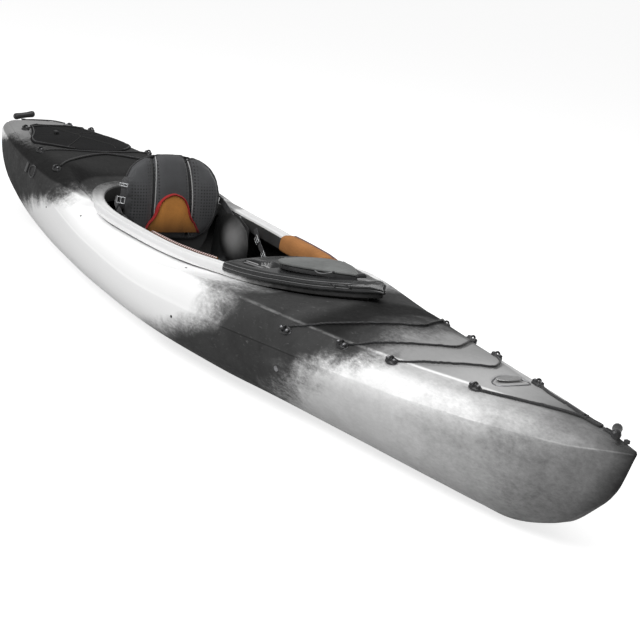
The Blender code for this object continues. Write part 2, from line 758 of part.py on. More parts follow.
def cover_z(x, y):
    """Underside of the cover, bowed a little over the tankwell."""
    half = smooth_through(COVER_HALF_WIDTH, x)
    middle = (x - COVER_HALF_WIDTH[0][0]) / (COVER_HALF_WIDTH[-1][0] - COVER_HALF_WIDTH[0][0])
    bow = COVER_CROWN * (1 - (y / half) ** 2) * math.sin(math.pi * middle)
    return deck_base(x, y) + COVER_LIFT + bow


def make_cover(tree):
    """Lays the cover on the deck and gives how far it was lowered."""
    xs = [point[0] for point in COVER_HALF_WIDTH] + [-1.37, -1.45]
    sections = []
    shares = [-1, -0.8, -0.55, -0.28, 0, 0.28, 0.55, 0.8, 1]
    for x in sorted(xs):
        half = smooth_through(COVER_HALF_WIDTH, x)
        under = [(x, half * s, cover_z(x, half * s)) for s in shares]
        over = [(x, half * s, cover_z(x, half * s) + COVER_SHEET) for s in reversed(shares)]
        sections.append(under + over)
    cover = loft("tankwell_cover", sections, "cover_fabric", smooth=True)
    least = 1.0
    under = [section[: len(shares)] for section in sections]
    for near, far in zip(under, under[1:]):
        for a, b, c in zip(near, near[1:], far):
            for share in (0.0, 0.25, 0.5, 0.75, 1.0):
                for start, end in ((a, b), (a, c)):
                    place = Vector(start).lerp(Vector(end), share)
                    hit, _ = drop_on(tree, place.x, place.y)
                    least = min(least, place.z - hit.z)
    for vertex in cover.data.vertices:
        vertex.co.z -= least - COVER_GAP
    return least - COVER_GAP


def make_cover_cords(tree, eyes, drop):
    eye = eyes["aft_eye_starboard_1"]
    points = [(x, y, 0.0) for x, y in bowed_route(eye, (-CORD_LEAD[0], CORD_LEAD[1]), -0.022, 2.5)]
    route = []
    for point in rounded_route(points, 0.027):
        hit, normal = drop_on(tree, point.x, point.y)
        rise = (CORD_RADIUS + 0.0012) / max(normal.z, 0.4)
        top = hit.z + rise
        half = smooth_through(COVER_HALF_WIDTH, point.x)
        if abs(point.y) < half + 0.012:
            over = cover_z(point.x, min(abs(point.y), half)) + COVER_SHEET + CORD_RADIUS + 0.0008 - drop
            top = max(top, over)
        route.append((point.x, point.y, top))
    tube("cover_aft_cord", route, CORD_RADIUS, "cord_black")
    lock_x, lock_y = CORD_LOCK_PLACE
    half_x, half_y = CORD_LOCK_HALF
    top = cover_z(lock_x, lock_y) + COVER_SHEET + 0.0006 - drop
    boxed(
        "cord_lock", (-half_x, -half_y, 0), (half_x, half_y, CORD_LOCK_HEIGHT), "black_plastic",
        turn=Matrix.Translation((lock_x, lock_y, top)), bevel=0.003,
    )


# Work deck


def panel_half_width(x):
    full = rim_half_width(min(x, RIM_FORE_X)) + PANEL_OVERHANG
    if x < PANEL_AFT_X + PANEL_CORNER:
        full -= PANEL_CORNER * (1 - (x - PANEL_AFT_X) / PANEL_CORNER) ** 2
    if x > RIM_FORE_X:
        full -= PANEL_OVERHANG * 0.6 * (x - RIM_FORE_X) / PANEL_NOSE
    return full


def panel_top(x, y):
    share = min(abs(y) / panel_half_width(x), 1.0)
    droop = NOSE_DROP * eased((x - RIM_FORE_X - PANEL_NOSE + NOSE_REACH) / NOSE_REACH)
    return rim_top(x) + PANEL_RISE + PANEL_CROWN * (1 - share * share) - droop


def panel_section(x):
    w = panel_half_width(x)
    low = rim_top(x) - SKIRT_DROP
    high = panel_top(x, w) - 0.006
    side = [(w, low), (w + 0.0008, low + 0.6 * (high - low)), (w, high)]
    top = [(w - min(0.006, w * 0.5), panel_top(x, w) - 0.0004)]
    top += [(w * s, panel_top(x, w * s)) for s in (0.75, 0.5, 0.25)]
    half = side + top
    starboard = [(x, -y, z) for y, z in reversed(half)]
    return [(x, y, z) for y, z in half] + [(x, 0.0, panel_top(x, 0.0))] + starboard


def panel_void(x):
    w = rim_half_width(min(x, RIM_FORE_X)) + SKIN_GAP
    half = [(w, rim_top(x) - 0.09), (w, rim_top(x) + SKIN_GAP)]
    half += [(w * s, panel_top(x, w * s) - PANEL_SHEET) for s in (0.8, 0.5, 0.25)]
    starboard = [(x, -y, z) for y, z in reversed(half)]
    middle = [(x, 0.0, panel_top(x, 0.0) - PANEL_SHEET)]
    return [(x, y, z) for y, z in half] + middle + starboard


def lid_frame():
    """Local frame of the lid: X forward along its seat, Z out of it, origin at its hinge edge."""
    slope = math.atan(LID_SLOPE)
    return Matrix.Translation((LID_AFT_X, 0, LID_SEAT_Z)) @ Matrix.Rotation(-slope, 4, "Y")


def lid_ring(scale, z, sides=36):
    """Teardrop, round at the hinge and pointed forward."""
    frame = lid_frame()
    ring = []
    for j in range(sides):
        angle = 2 * math.pi * j / sides
        c, s = math.cos(angle), math.sin(angle)
        x = LID_LENGTH / 2 * (1 + scale * c)
        y = LID_FULLNESS * scale * s * ((1 - c) / 2) ** LID_POINT
        ring.append(frame @ Vector((x, y, z)))
    return ring


def make_work_deck():
    reach = RIM_FORE_X + PANEL_NOSE - PANEL_AFT_X
    stations = [PANEL_AFT_X + reach * share for share in PANEL_STATION_SHARES]
    panel = loft("work_deck", [panel_section(x) for x in stations], "panel_plastic")
    inner = [PANEL_AFT_X - 0.035] + stations[2:-2] + [RIM_FORE_X + SKIN_GAP]
    void = loft("work_deck_void", [panel_void(x) for x in inner], collection=CUTTERS)
    boss = loft("lid_boss", [lid_ring(0.94, -BOSS_DEPTH), lid_ring(0.94, 0.0)], collection=CUTTERS)
    cup = loft("glove_box", [lid_ring(0.66, -GLOVE_BOX_DEPTH), lid_ring(0.7, -0.002)], collection=CUTTERS)
    well_floor = -GLOVE_BOX_DEPTH + PANEL_SHEET
    well = loft("glove_box_void", [lid_ring(0.6, well_floor), lid_ring(0.64, 0.02)], collection=CUTTERS)
    boolean(panel, void, "DIFFERENCE")
    boolean(panel, boss, "UNION")
    boolean(panel, cup, "UNION")
    boolean(panel, well, "DIFFERENCE")
    for side in (-1, 1):
        low_y, high_y = sorted((side * TRAY_Y[0], side * TRAY_Y[1]))
        floor = TRAY_TOP_Z - TRAY_DEPTH
        shell = boxed(
            f"tray_{side}", (TRAY_X[0], low_y, floor - 0.003), (TRAY_X[1], high_y, TRAY_TOP_Z + 0.0035),
            collection=CUTTERS,
        )
        space = boxed(
            f"tray_void_{side}", (TRAY_X[0] + 0.004, low_y + 0.004, floor),
            (TRAY_X[1] - 0.004, high_y - 0.004, 0.39), collection=CUTTERS,
        )
        boolean(panel, shell, "UNION")
        boolean(panel, space, "DIFFERENCE")
        lug = boxed(
            f"lid_lug_{side}", (-0.016, min(side * y for y in LUG_Y), 0.0013 - BOSS_DEPTH),
            (-0.002, max(side * y for y in LUG_Y), 0.009), collection=CUTTERS, turn=lid_frame(),
        )
        boolean(panel, lug, "UNION")
    rest = boxed(
        "latch_rest", (LID_LENGTH - 0.009, -LATCH_HALF_WIDTH - 0.003, -0.016),
        (LID_LENGTH + LATCH_REACH + 0.002, LATCH_HALF_WIDTH + 0.003, -0.0003),
        collection=CUTTERS, turn=lid_frame(),
    )
    boolean(panel, rest, "UNION")
    baked(panel)

    loft("work_deck_lid", [lid_ring(scale, z) for scale, z in LID_PROFILE], "lid_plastic", smooth=True)
    gasket_profile = [(0.9, 0.0004), (0.9, 0.002), (0.85, 0.002), (0.85, 0.0004)]
    gasket_rings = [lid_ring(scale, z, 24) for scale, z in gasket_profile]
    sections = [[ring[j] for ring in gasket_rings] for j in range(24)]
    loft("lid_gasket", sections, "rubber_black", ring=True)
    turned(
        "lid_hinge_pin", [(0.003, 0.0006 - LUG_Y[0]), (0.003, LUG_Y[0] - 0.0006)],
        lid_frame() @ Matrix.Translation(LID_HINGE) @ Matrix.Rotation(math.pi / 2, 4, "X"),
        10, "alloy",
    )
    boxed(
        "lid_latch", (LID_LENGTH + 0.0008, -LATCH_HALF_WIDTH, LATCH_FOOT),
        (LID_LENGTH + LATCH_REACH, LATCH_HALF_WIDTH, 0.012), "black_plastic", turn=lid_frame(), bevel=0.002,
    )


# Seat


def make_seat_pan(tree):
    sections = []
    for x, top in PAN_TOP_Z:
        bend = min(PAN_FLOOR_Z + 0.045, top - 0.004)
        outer = [(0.15, PAN_FLOOR_Z), (0.198, PAN_FLOOR_Z + 0.012), (0.22, bend), (PAN_HALF_WIDTH, top)]
        inner = [(y - PAN_SHEET, z + PAN_SHEET) for y, z in outer[:2]]
        inner += [(0.22 - PAN_SHEET, min(bend + 0.002, top - 0.001)), (PAN_HALF_WIDTH - PAN_SHEET, top)]
        loop = [(x, 0.0, PAN_FLOOR_Z)] + [(x, y, z) for y, z in outer]
        loop += [(x, y, z) for y, z in reversed(inner)] + [(x, 0.0, PAN_FLOOR_Z + PAN_SHEET)]
        loop += [(x, -y, z) for y, z in inner] + [(x, -y, z) for y, z in reversed(outer)]
        sections.append(loop)
    pan = loft("seat_pan", sections, "black_plastic")
    for side in (-1, 1):
        ground = max(floor_of(tree, x, side * y) for x in (-0.5, -0.35, -0.2) for y in (0.085, 0.115))
        foot = boxed(
            f"pan_foot_{side}", (-0.5, side * 0.1 - 0.014, ground + SEAT_GAP),
            (-0.2, side * 0.1 + 0.014, PAN_FLOOR_Z + 0.003), collection=CUTTERS,
        )
        boolean(pan, foot, "UNION")
    baked(pan)
    for side, mark in SIDES:
        inner = rim_half_width(-0.45, 1.0)
        turned(
            f"seat_bolt_{mark}",
            [(0.007, PAN_HALF_WIDTH + 0.0004), (0.007, inner - 0.0006)],
            frame_along((-0.45, 0, 0.287), (0, side, 0)), 10, "alloy",
        )
    return pan


def pad_grid(rows, shares, place):
    """Closed pad: a front grid, a flat back grid and the edge between them."""
    verts = []
    for layer in (0, 1):
        for i in range(rows):
            for share in shares:
                verts.append(place(i, share, layer))
    cols = len(shares)
    faces = []
    for layer in (0, 1):
        base = layer * rows * cols
        for i in range(rows - 1):
            for j in range(cols - 1):
                a = base + i * cols + j
                face = (a, a + 1, a + cols + 1, a + cols)
                faces.append(face if layer else tuple(reversed(face)))
    rim = [(0, j) for j in range(cols)]
    rim += [(i, cols - 1) for i in range(1, rows)]
    rim += [(rows - 1, j) for j in range(cols - 2, -1, -1)]
    rim += [(i, 0) for i in range(rows - 2, 0, -1)]
    back = [i * cols + j for i, j in rim]
    front = [rows * cols + k for k in back]
    for k in range(len(rim)):
        n = (k + 1) % len(rim)
        faces.append((back[k], back[n], front[n], front[k]))
    return verts, faces


def pillow(share):
    """Fullness across a pad, from its edges to its middle."""
    return (1 - abs(share) ** 5) ** 0.5


def make_cushion():
    rows = 13
    length = CUSHION_X[1] - CUSHION_X[0]

    def place(i, share, layer):
        run = i / (rows - 1)
        tip = math.sin(math.pi * (0.04 + 0.92 * run)) ** 0.35
        half = CUSHION_HALF_WIDTH * (0.9 + 0.1 * tip) * (1 - 0.02 * math.cos(4 * math.pi * run))
        x = CUSHION_X[0] + length * run
        y = half * share
        bottom = PAN_FLOOR_Z + PAN_SHEET + SEAT_GAP + max(abs(y) - 0.14, 0.0) * 0.32
        if not layer:
            return (x, y, bottom)
        channel = 0.009 * math.exp(-(((abs(y) - BACK_CHANNEL_Y) / 0.012) ** 2))
        full = CUSHION_THICKNESS * pillow(share) * tip
        return (x, y, bottom + 0.01 + max(full - channel - 0.01, 0.002) + 0.01 * run)

    verts, faces = pad_grid(rows, PAD_SHARES, place)
    return mesh_object("seat_cushion", verts, faces, "seat_fabric", smooth=True)


def back_frame_matrix():
    """Local frame of the seat back: X forward out of it, Z up along it, origin on its hinge."""
    return Matrix.Translation(BACK_HINGE) @ Matrix.Rotation(math.radians(-BACK_LEAN), 4, "Y")


def back_front(height, y):
    """How far the pad's front stands out at this place of the seat back."""
    low, high = BACK_OUTLINE[0][0], BACK_OUTLINE[-1][0]
    half = smooth_through(BACK_OUTLINE, height)
    run = (height - low) / (high - low)
    tip = math.sin(math.pi * (0.06 + 0.9 * run)) ** 0.4
    full = BACK_PAD_THICKNESS * pillow(min(abs(y) / half, 1.0)) * tip
    channel = BACK_CHANNEL_DEPTH * math.exp(-(((abs(y) - BACK_CHANNEL_Y) / 0.01) ** 2))
    wrap = 0.03 * (y / 0.2) ** 2
    return BACK_PLATE + BACK_GAP + 0.012 + max(full - channel * tip - 0.012, 0.002) + wrap


def make_back():
    frame = back_frame_matrix()
    low, high = BACK_OUTLINE[0][0], BACK_OUTLINE[-1][0]
    heights = [low + (high - low) * share for share in BACK_ROW_SHARES]

    def wrap(y):
        return 0.03 * (y / 0.2) ** 2

    def place(i, share, layer):
        height = heights[i]
        y = smooth_through(BACK_OUTLINE, height) * share
        if not layer:
            return frame @ Vector((BACK_PLATE + BACK_GAP + wrap(y), y, height))
        return frame @ Vector((back_front(height, y), y, height))

    verts, faces = pad_grid(len(heights), PAD_SHARES, place)
    pad = mesh_object("seat_back_pad", verts, faces, "seat_fabric", smooth=True)

    sections = []
    for height, half in BACK_FRAME_OUTLINE:
        shares = [-1, -0.75, -0.5, -0.25, 0, 0.25, 0.5, 0.75, 1]
        rear = [frame @ Vector((wrap(half * s), half * s, height)) for s in shares]
        fore = [frame @ Vector((wrap(half * s) + BACK_PLATE, half * s, height)) for s in reversed(shares)]
        sections.append(rear + fore)
    plate = loft("seat_back_frame", sections, "black_plastic")
    pin = turned(
        "seat_back_pin", [(0.005, -0.2148), (0.005, 0.2148)], frame_along(BACK_HINGE, (0, 1, 0)), 10, "alloy",
    )
    return pad, plate, pin


def make_patch():
    frame = back_frame_matrix()
    sections = []
    for height, half in PATCH_EDGE:
        shares = [-1, -0.7, -0.35, 0, 0.35, 0.7, 1]
        least = back_front(height, 0) - PATCH_DIP
        rear = []
        fore = []
        for s in shares:
            base = max(back_front(height, half * s), least) + PATCH_LIFT
            rear.append(frame @ Vector((base, half * s, height)))
            fore.append(frame @ Vector((base + PATCH_SHEET, half * s, height)))
        sections.append(rear + fore[::-1])
    patch = loft("lumbar_patch", sections, "orange_fabric")

    path = PATCH_EDGE + [(PATCH_EDGE[-1][0] + 0.0015, 0.0)]
    path += [(height, -half) for height, half in reversed(PATCH_EDGE)]
    sections = []
    for k, (height, y) in enumerate(path):
        before = path[max(k - 1, 0)]
        after = path[min(k + 1, len(path) - 1)]
        run = Vector((after[0] - before[0], after[1] - before[1])).normalized()
        out = Vector((run.y, -run.x)) * -1
        near = Vector((height, y)) + out * 0.0008
        far = Vector((height, y)) + out * BORDER_WIDTH
        least = back_front(height, 0) - PATCH_DIP
        level = max(back_front(near.x, near.y), back_front(far.x, far.y), least) + PATCH_LIFT
        front = level + PATCH_SHEET
        corners = [(level, near), (level, far), (front, far), (front, near)]
        sections.append([frame @ Vector((out_by, place.y, place.x)) for out_by, place in corners])
    border = loft("lumbar_border", sections, "red_trim")
    return patch, border


def ribbon(name, route, width_axis, width, thickness, material):
    """Flat strap along a route, its width along the axis."""
    points = [Vector(p) for p in route]
    axis = Vector(width_axis).normalized()
    sections = []
    for k, point in enumerate(points):
        run = (points[min(k + 1, len(points) - 1)] - points[max(k - 1, 0)]).normalized()
        normal = run.cross(axis).normalized()
        a = axis * width / 2
        b = normal * thickness / 2
        sections.append([point - a - b, point + a - b, point + a + b, point - a + b])
    return loft(name, sections, material)


def make_straps():
    for side, mark in SIDES:
        ribbon(
            f"back_strap_{mark}",
            [(x, side * y, z) for x, y, z in STRAP_ROUTE], (0.35, 0, 0.94), STRAP_WIDTH, STRAP_SHEET,
            "webbing",
        )


def make_thigh_pad(mark, side):
    """Soft pad on the rim and down its inner wall, a little slimmer at both ends."""
    low, high = THIGH_PAD_TURNS[mark]
    profile = THIGH_PAD_PROFILE[mark]
    sections = []
    for run in THIGH_PAD_RUNS:
        angle = low + (high - low) * run
        turn = angle if side > 0 else math.pi - angle
        x_out, _ = rim_place(turn, 0.0)
        slim = 0.55 if run in (0, 1) else 1.0
        section = []
        for share, rise in profile:
            if rise > THIGH_PAD_REST:
                rise = THIGH_PAD_REST + (rise - THIGH_PAD_REST) * slim
            x, y = rim_place(turn, share)
            section.append((x, y, rim_top(x_out) + rise))
        sections.append(section)
    return loft(f"thigh_pad_{mark}", sections, "orange_fabric", smooth=True)


# Foot braces


def make_foot_brace(tree, side, mark):
    ends = []
    for x in RAIL_X:
        near = min(abs(wall_of(tree, x, RAIL_Z - drop, side).y) for drop in (0.0, RAIL_HALF_HEIGHT))
        ends.append(Vector((x, side * (near - RAIL_LIFT), RAIL_Z)))
    start, end = ends
    along = (end - start).normalized()
    length = (end - start).length
    turn = frame_along(start, along)
    half = RAIL_SHEET / 2
    rail = boxed(
        f"foot_rail_{mark}", (-RAIL_HALF_HEIGHT, -half, 0), (RAIL_HALF_HEIGHT, half, length), "alloy",
        turn=turn,
    )
    inward = -side
    frame_y = turn.to_3x3() @ Vector((0, 1, 0))
    sign = 1 if frame_y.y * inward > 0 else -1
    for end_name, place in (("aft", 0.03), ("fore", length - 0.03)):
        reach = 1.0
        for up in (-0.01, 0.01):
            for aside in (-0.012, 0.012):
                start_at = turn @ Vector((up, 0, place + aside))
                hit, _, _, _ = tree.ray_cast(start_at, frame_y * -sign)
                reach = min(reach, (hit - start_at).length)
        near, far = -sign * 0.001, -sign * (reach - SEAT_GAP)
        block = boxed(
            f"rail_block_{mark}_{end_name}", (-0.01, min(near, far), place - 0.012),
            (0.01, max(near, far), place + 0.012), collection=CUTTERS, turn=turn,
        )
        boolean(rail, block, "UNION")
    baked(rail)
    near = sign * (half + 0.0005)
    far = sign * (half + PEDAL_DEPTH)
    boxed(
        f"foot_pedal_{mark}", (PEDAL_HEIGHT[0], min(near, far), PEDAL_PLACE),
        (PEDAL_HEIGHT[1], max(near, far), PEDAL_PLACE + PEDAL_SHEET),
        "black_plastic", turn=turn, bevel=0.004,
    )
    outside, normal = side_of(tree, *RAIL_BOLT, side)
    turned(
        f"rail_bolt_{mark}", [(0.009, 0.0), (0.009, 0.002), (0.005, 0.004)],
        seated(tree, frame_along(outside, normal), ellipse(0.009, 0.009, 16)), 10, "alloy",
    )


# Handles and small fittings


def lowered(tree, centre, axis):
    """The centre dropped until the handle lies just clear of the deck."""
    along = Vector(axis).normalized()
    least = 1.0
    for k in range(-8, 9):
        share = k / 8
        round_off = TOGGLE_RADIUS * (0.45 if abs(share) == 1 else 1.0)
        if abs(share) < 0.26:
            round_off = TOGGLE_RADIUS * 0.86
        for aside in (-0.012, -0.006, 0.0, 0.006, 0.012):
            drop = math.sqrt(max(round_off ** 2 - aside ** 2, 0.0))
            place = Vector(centre) + along * share * TOGGLE_LENGTH / 2
            place += Vector((-along.y, along.x, 0)).normalized() * aside
            hit, _, _, _ = tree.ray_cast(Vector((place.x, place.y, 1.0)), Vector((0, 0, -1)))
            if hit:
                least = min(least, place.z - drop - hit.z)
    return Vector(centre) - Vector((0, 0, least - SEAT_GAP))


def make_toggle(name, centre, axis):
    half = TOGGLE_LENGTH / 2
    profile = [
        (TOGGLE_RADIUS * 0.45, -half), (TOGGLE_RADIUS * 0.85, -half + 0.004), (TOGGLE_RADIUS, -half + 0.011),
        (TOGGLE_RADIUS * 0.86, -0.012), (TOGGLE_RADIUS * 0.86, 0.012), (TOGGLE_RADIUS, half - 0.011),
        (TOGGLE_RADIUS * 0.85, half - 0.004), (TOGGLE_RADIUS * 0.45, half),
    ]
    return turned(name, profile, frame_along(centre, axis), 12, "black_plastic")


def make_ends(tree):
    hit, _ = drop_on(tree, BOW_TOGGLE_X, 0.0)
    centre = lowered(tree, (BOW_TOGGLE_X, 0.0, hit.z + 0.03), BOW_TOGGLE_LEAN)
    make_toggle("bow_toggle", centre, BOW_TOGGLE_LEAN)
    hit, _ = drop_on(tree, BOW_ANCHOR_X, 0.0)
    half_x, half_y = BOW_ANCHOR_HALF
    boxed(
        "bow_toggle_anchor", (-half_x, -half_y, 0.0), (half_x, half_y, BOW_ANCHOR_HEIGHT), "black_plastic",
        turn=seated(tree, Matrix.Translation(hit), box_foot(half_x, half_y)),
    )
    hit, _ = drop_on(tree, STERN_TOGGLE_X, 0.0)
    centre = lowered(tree, (STERN_TOGGLE_X, 0.0, hit.z + 0.05), STERN_TOGGLE_LEAN)
    centre.z += STERN_TOGGLE_RISE
    make_toggle("stern_toggle", centre, STERN_TOGGLE_LEAN)
    half_x, half_y = STERN_ANCHOR_HALF
    foot = seated(tree, Matrix.Translation(hit), box_foot(half_x, half_y))
    top = centre.z - TOGGLE_RADIUS - foot.translation.z - SWING_GAP
    boxed("stern_toggle_anchor", (-half_x, -half_y, 0.0), (half_x, half_y, top), "black_plastic", turn=foot)
    place = make_eye("stern_cord_eye", tree, *STERN_CORD_EYE)
    start = STERN_TOGGLE_X + STERN_ANCHOR_HALF[0] + 0.0045
    route = [(start, 0.006), (-1.74, 0.03), (-1.7, 0.07), (place.x - CORD_LEAD[0], place.y - CORD_LEAD[1])]
    tube("stern_cord", laid_route(tree, route, CORD_RADIUS, 0.02), CORD_RADIUS, "cord_black")


def make_paddle_park(tree):
    centre_x, centre_z = PARK_LOOP_PLACE
    loop = []
    for x, z in ellipse(*PARK_LOOP_HALF, 18):
        hit, normal = side_of(tree, centre_x + x, centre_z + z, -1)
        loop.append(hit + normal * (PARK_LOOP_RADIUS + 0.0006))
    tube("paddle_park_loop", loop, PARK_LOOP_RADIUS, "cord_black", resolution=1, closed=True)
    hit, normal = side_of(tree, *PARK_HOOK_PLACE, -1)
    half_x, half_y = PARK_HOOK_HALF
    boxed(
        "paddle_park_hook", (-half_x, -half_y, 0), (half_x, half_y, PARK_HOOK_DEPTH), "black_plastic",
        turn=seated(tree, frame_along(hit, normal, (1, 0, 0)), box_foot(half_x, half_y)), bevel=0.0015,
    )


def make_badge(tree):
    hit, normal = drop_on(tree, BADGE_X, 0.0)
    long_half, short_half = BADGE_SIZE[0] / 2, BADGE_SIZE[1] / 2
    frame = frame_along(hit, (normal.x, 0, normal.z), (0, 1, 0))
    foot = ellipse(long_half, short_half, 24) + ellipse(long_half / 2, short_half / 2, 12) + [(0, 0)]
    frame = seated(tree, frame, foot)
    turned(
        "badge_plate", [(long_half, 0.0), (long_half, 0.0016), (long_half - 0.002, 0.0022)], frame, 20,
        "badge_metal", flat=short_half / long_half,
    )


def make_pillar(name, tree, x0, x1):
    """Foam plate standing between the hull's floor and its deck."""
    half = PILLAR_HALF_WIDTH
    steps = [x0 + (x1 - x0) * k / 12 for k in range(13)]
    places = [x0 + (x1 - x0) * k / 48 for k in range(-4, 53)]
    floors = {x: max(floor_of(tree, x, y) for y in (-half, 0, half)) for x in places}
    roofs = {}
    for x in places:
        up = [tree.ray_cast(Vector((x, y, 0.12)), Vector((0, 0, 1)))[0].z for y in (-half, 0, half)]
        roofs[x] = min(up)
    reach = (x1 - x0) / 24 + 0.001
    sections = []
    for x in steps:
        low = max(floors[p] for p in places if abs(p - x) < reach) + 0.0006
        high = min(roofs[p] for p in places if abs(p - x) < reach) - 0.0006
        sections.append([(x, -half, low), (x, half, low), (x, half, high), (x, -half, high)])
    return loft(name, sections, "foam")


def hang_on(name, pivot):
    """Moves the piece's origin to its joint and leaves its shape where it is."""
    obj = bpy.data.objects[name]
    pivot = Vector(pivot)
    obj.data.transform(Matrix.Translation(-pivot))
    obj.location = pivot


def middle_of(name):
    points = [vertex.co for vertex in bpy.data.objects[name].data.vertices]
    low = Vector([min(p[i] for p in points) for i in range(3)])
    high = Vector([max(p[i] for p in points) for i in range(3)])
    return (low + high) / 2


def hang_moving_pieces():
    for name in ("seat_back_pad", "seat_back_frame", "lumbar_patch", "lumbar_border"):
        hang_on(name, BACK_HINGE)
    hang_on("seat_cushion", CUSHION_HINGE)
    hang_on("work_deck_lid", lid_frame() @ Vector(LID_HINGE))
    hang_on("lid_latch", lid_frame() @ Vector((LID_LENGTH + LATCH_REACH, 0, LATCH_FOOT)))
    hang_on("bow_toggle", (BOW_ANCHOR_X, 0, bpy.data.objects["bow_toggle_anchor"].data.vertices[0].co.z))
    hang_on("stern_toggle", middle_of("stern_toggle"))
    for name in ("foot_pedal_port", "foot_pedal_starboard", "cord_lock", "paddle_park_hook", "work_deck"):
        hang_on(name, middle_of(name))


clear_scene()
KAYAK = new_collection("sit_in_kayak", False)
CUTTERS = new_collection("cutters", True)
MATERIALS = make_materials()

hull = make_hull()
HULL_TREE = BVHTree.FromObject(hull, bpy.context.evaluated_depsgraph_get())
make_pillar("bow_foam_pillar", HULL_TREE, *BOW_PILLAR_X)
make_pillar("stern_foam_pillar", HULL_TREE, *STERN_PILLAR_X)
make_work_deck()
make_seat_pan(HULL_TREE)
make_cushion()
make_back()
make_patch()
make_straps()
for side, mark in SIDES:
    make_thigh_pad(mark, side)
for side, mark in SIDES:
    make_foot_brace(HULL_TREE, side, mark)
eye_places = make_eyes(HULL_TREE)
make_cords(HULL_TREE, eye_places)
cover_drop = make_cover(HULL_TREE)
make_cover_cords(HULL_TREE, eye_places, cover_drop)
make_ends(HULL_TREE)
make_paddle_park(HULL_TREE)
make_badge(HULL_TREE)
hang_moving_pieces()
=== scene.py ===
"""Looks of the sit-in kayak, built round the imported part.

Metres, +X to the bow, +Y to port, +Z up, as in the part.
"""

import json
import math

import bmesh
import bpy
import numpy as np
from mathutils import Matrix, Vector
from mathutils.bvhtree import BVHTree

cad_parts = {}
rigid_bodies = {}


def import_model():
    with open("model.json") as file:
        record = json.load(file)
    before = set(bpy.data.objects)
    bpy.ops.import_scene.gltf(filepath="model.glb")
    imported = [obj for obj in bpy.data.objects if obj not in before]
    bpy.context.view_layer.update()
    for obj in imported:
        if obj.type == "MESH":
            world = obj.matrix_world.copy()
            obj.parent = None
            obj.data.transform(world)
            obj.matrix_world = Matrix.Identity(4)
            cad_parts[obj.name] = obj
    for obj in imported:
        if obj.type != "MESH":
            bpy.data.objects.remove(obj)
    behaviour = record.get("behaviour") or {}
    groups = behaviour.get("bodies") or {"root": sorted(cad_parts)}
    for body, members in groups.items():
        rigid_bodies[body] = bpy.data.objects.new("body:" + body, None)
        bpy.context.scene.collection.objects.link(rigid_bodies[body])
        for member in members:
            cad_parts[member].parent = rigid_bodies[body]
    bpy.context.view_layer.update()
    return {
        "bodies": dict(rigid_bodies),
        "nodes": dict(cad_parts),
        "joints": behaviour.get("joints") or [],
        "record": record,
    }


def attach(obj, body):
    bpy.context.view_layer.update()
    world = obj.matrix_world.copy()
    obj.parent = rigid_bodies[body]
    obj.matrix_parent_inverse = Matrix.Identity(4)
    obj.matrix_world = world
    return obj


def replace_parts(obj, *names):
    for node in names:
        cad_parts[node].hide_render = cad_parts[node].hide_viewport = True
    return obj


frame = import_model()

SCENE = bpy.context.scene
SIDES = ((-1, "starboard"), (1, "port"))

# Camera, fitted to the photograph's view
CAMERA_PLACE = (4.801, -2.958, 1.685)
CAMERA_YAW = math.radians(145.53)
CAMERA_PITCH = math.radians(-15.66)
CAMERA_ROLL = math.radians(8.94)
CAMERA_LENS = 100.07

# Hull lines, the same as the part's
SHEER_Y = [
    (-1.905, 0.032), (-1.75, 0.127), (-1.5, 0.201), (-1.2, 0.268), (-0.8, 0.334), (-0.4, 0.377),
    (0.0, 0.394), (0.4, 0.361), (0.8, 0.297), (1.2, 0.239), (1.5, 0.171), (1.75, 0.079), (1.88, 0.014),
    (1.905, 0.005),
]
SHEER_Z = [
    (-1.905, 0.28), (-1.75, 0.303), (-1.5, 0.306), (-1.2, 0.29), (-0.8, 0.251), (-0.4, 0.213),
    (0.0, 0.196), (0.4, 0.205), (0.8, 0.224), (1.2, 0.253), (1.5, 0.28), (1.75, 0.305), (1.88, 0.331),
    (1.905, 0.336),
]
KEEL_Z = [
    (-1.905, 0.25), (-1.8, 0.119), (-1.6, 0.047), (-1.2, 0.013), (-0.75, 0.0), (0.75, 0.0),
    (1.2, 0.006), (1.5, 0.014), (1.7, 0.071), (1.8, 0.149), (1.87, 0.229), (1.905, 0.329),
]
EDGE_Y = [
    (-1.905, 0.024), (-1.75, 0.1), (-1.5, 0.18), (-1.2, 0.245), (-0.95, 0.29), (-0.8, 0.315),
    (-0.4, 0.338), (0.0, 0.345), (0.3, 0.324), (0.6, 0.274), (0.9, 0.213), (1.2, 0.141), (1.5, 0.063),
    (1.75, 0.016), (1.905, 0.003),
]
EDGE_Z = [
    (-1.905, 0.296), (-1.75, 0.3335), (-1.5, 0.345), (-1.2, 0.335), (-0.95, 0.322), (-0.8, 0.3),
    (-0.6, 0.275), (-0.4, 0.262), (0.0, 0.27), (0.3, 0.299), (0.6, 0.301), (0.9, 0.307), (1.2, 0.32),
    (1.5, 0.339), (1.75, 0.352), (1.905, 0.341),
]
CROWN_Z = [
    (-1.905, 0.303), (-1.8, 0.33), (-1.65, 0.356), (-1.5, 0.36), (-1.1, 0.364), (-0.8, 0.355),
    (-0.62, 0.345), (-0.52, 0.285), (-0.4, 0.275), (0.0, 0.275), (0.2, 0.284), (0.4, 0.303),
    (0.6, 0.333), (0.8, 0.362), (0.98, 0.362), (1.15, 0.356), (1.33, 0.357), (1.42, 0.349),
    (1.52, 0.35), (1.7, 0.356), (1.8, 0.356), (1.905, 0.345),
]
CROWN_POWER = [(-1.905, 4.0), (-0.6, 5.0), (0.2, 2.4), (1.905, 2.2)]
BILGE_POWER = [(-1.905, 2.03), (-1.0, 2.67), (0.35, 2.7), (0.6, 2.5), (1.2, 2.2), (1.905, 2.08)]
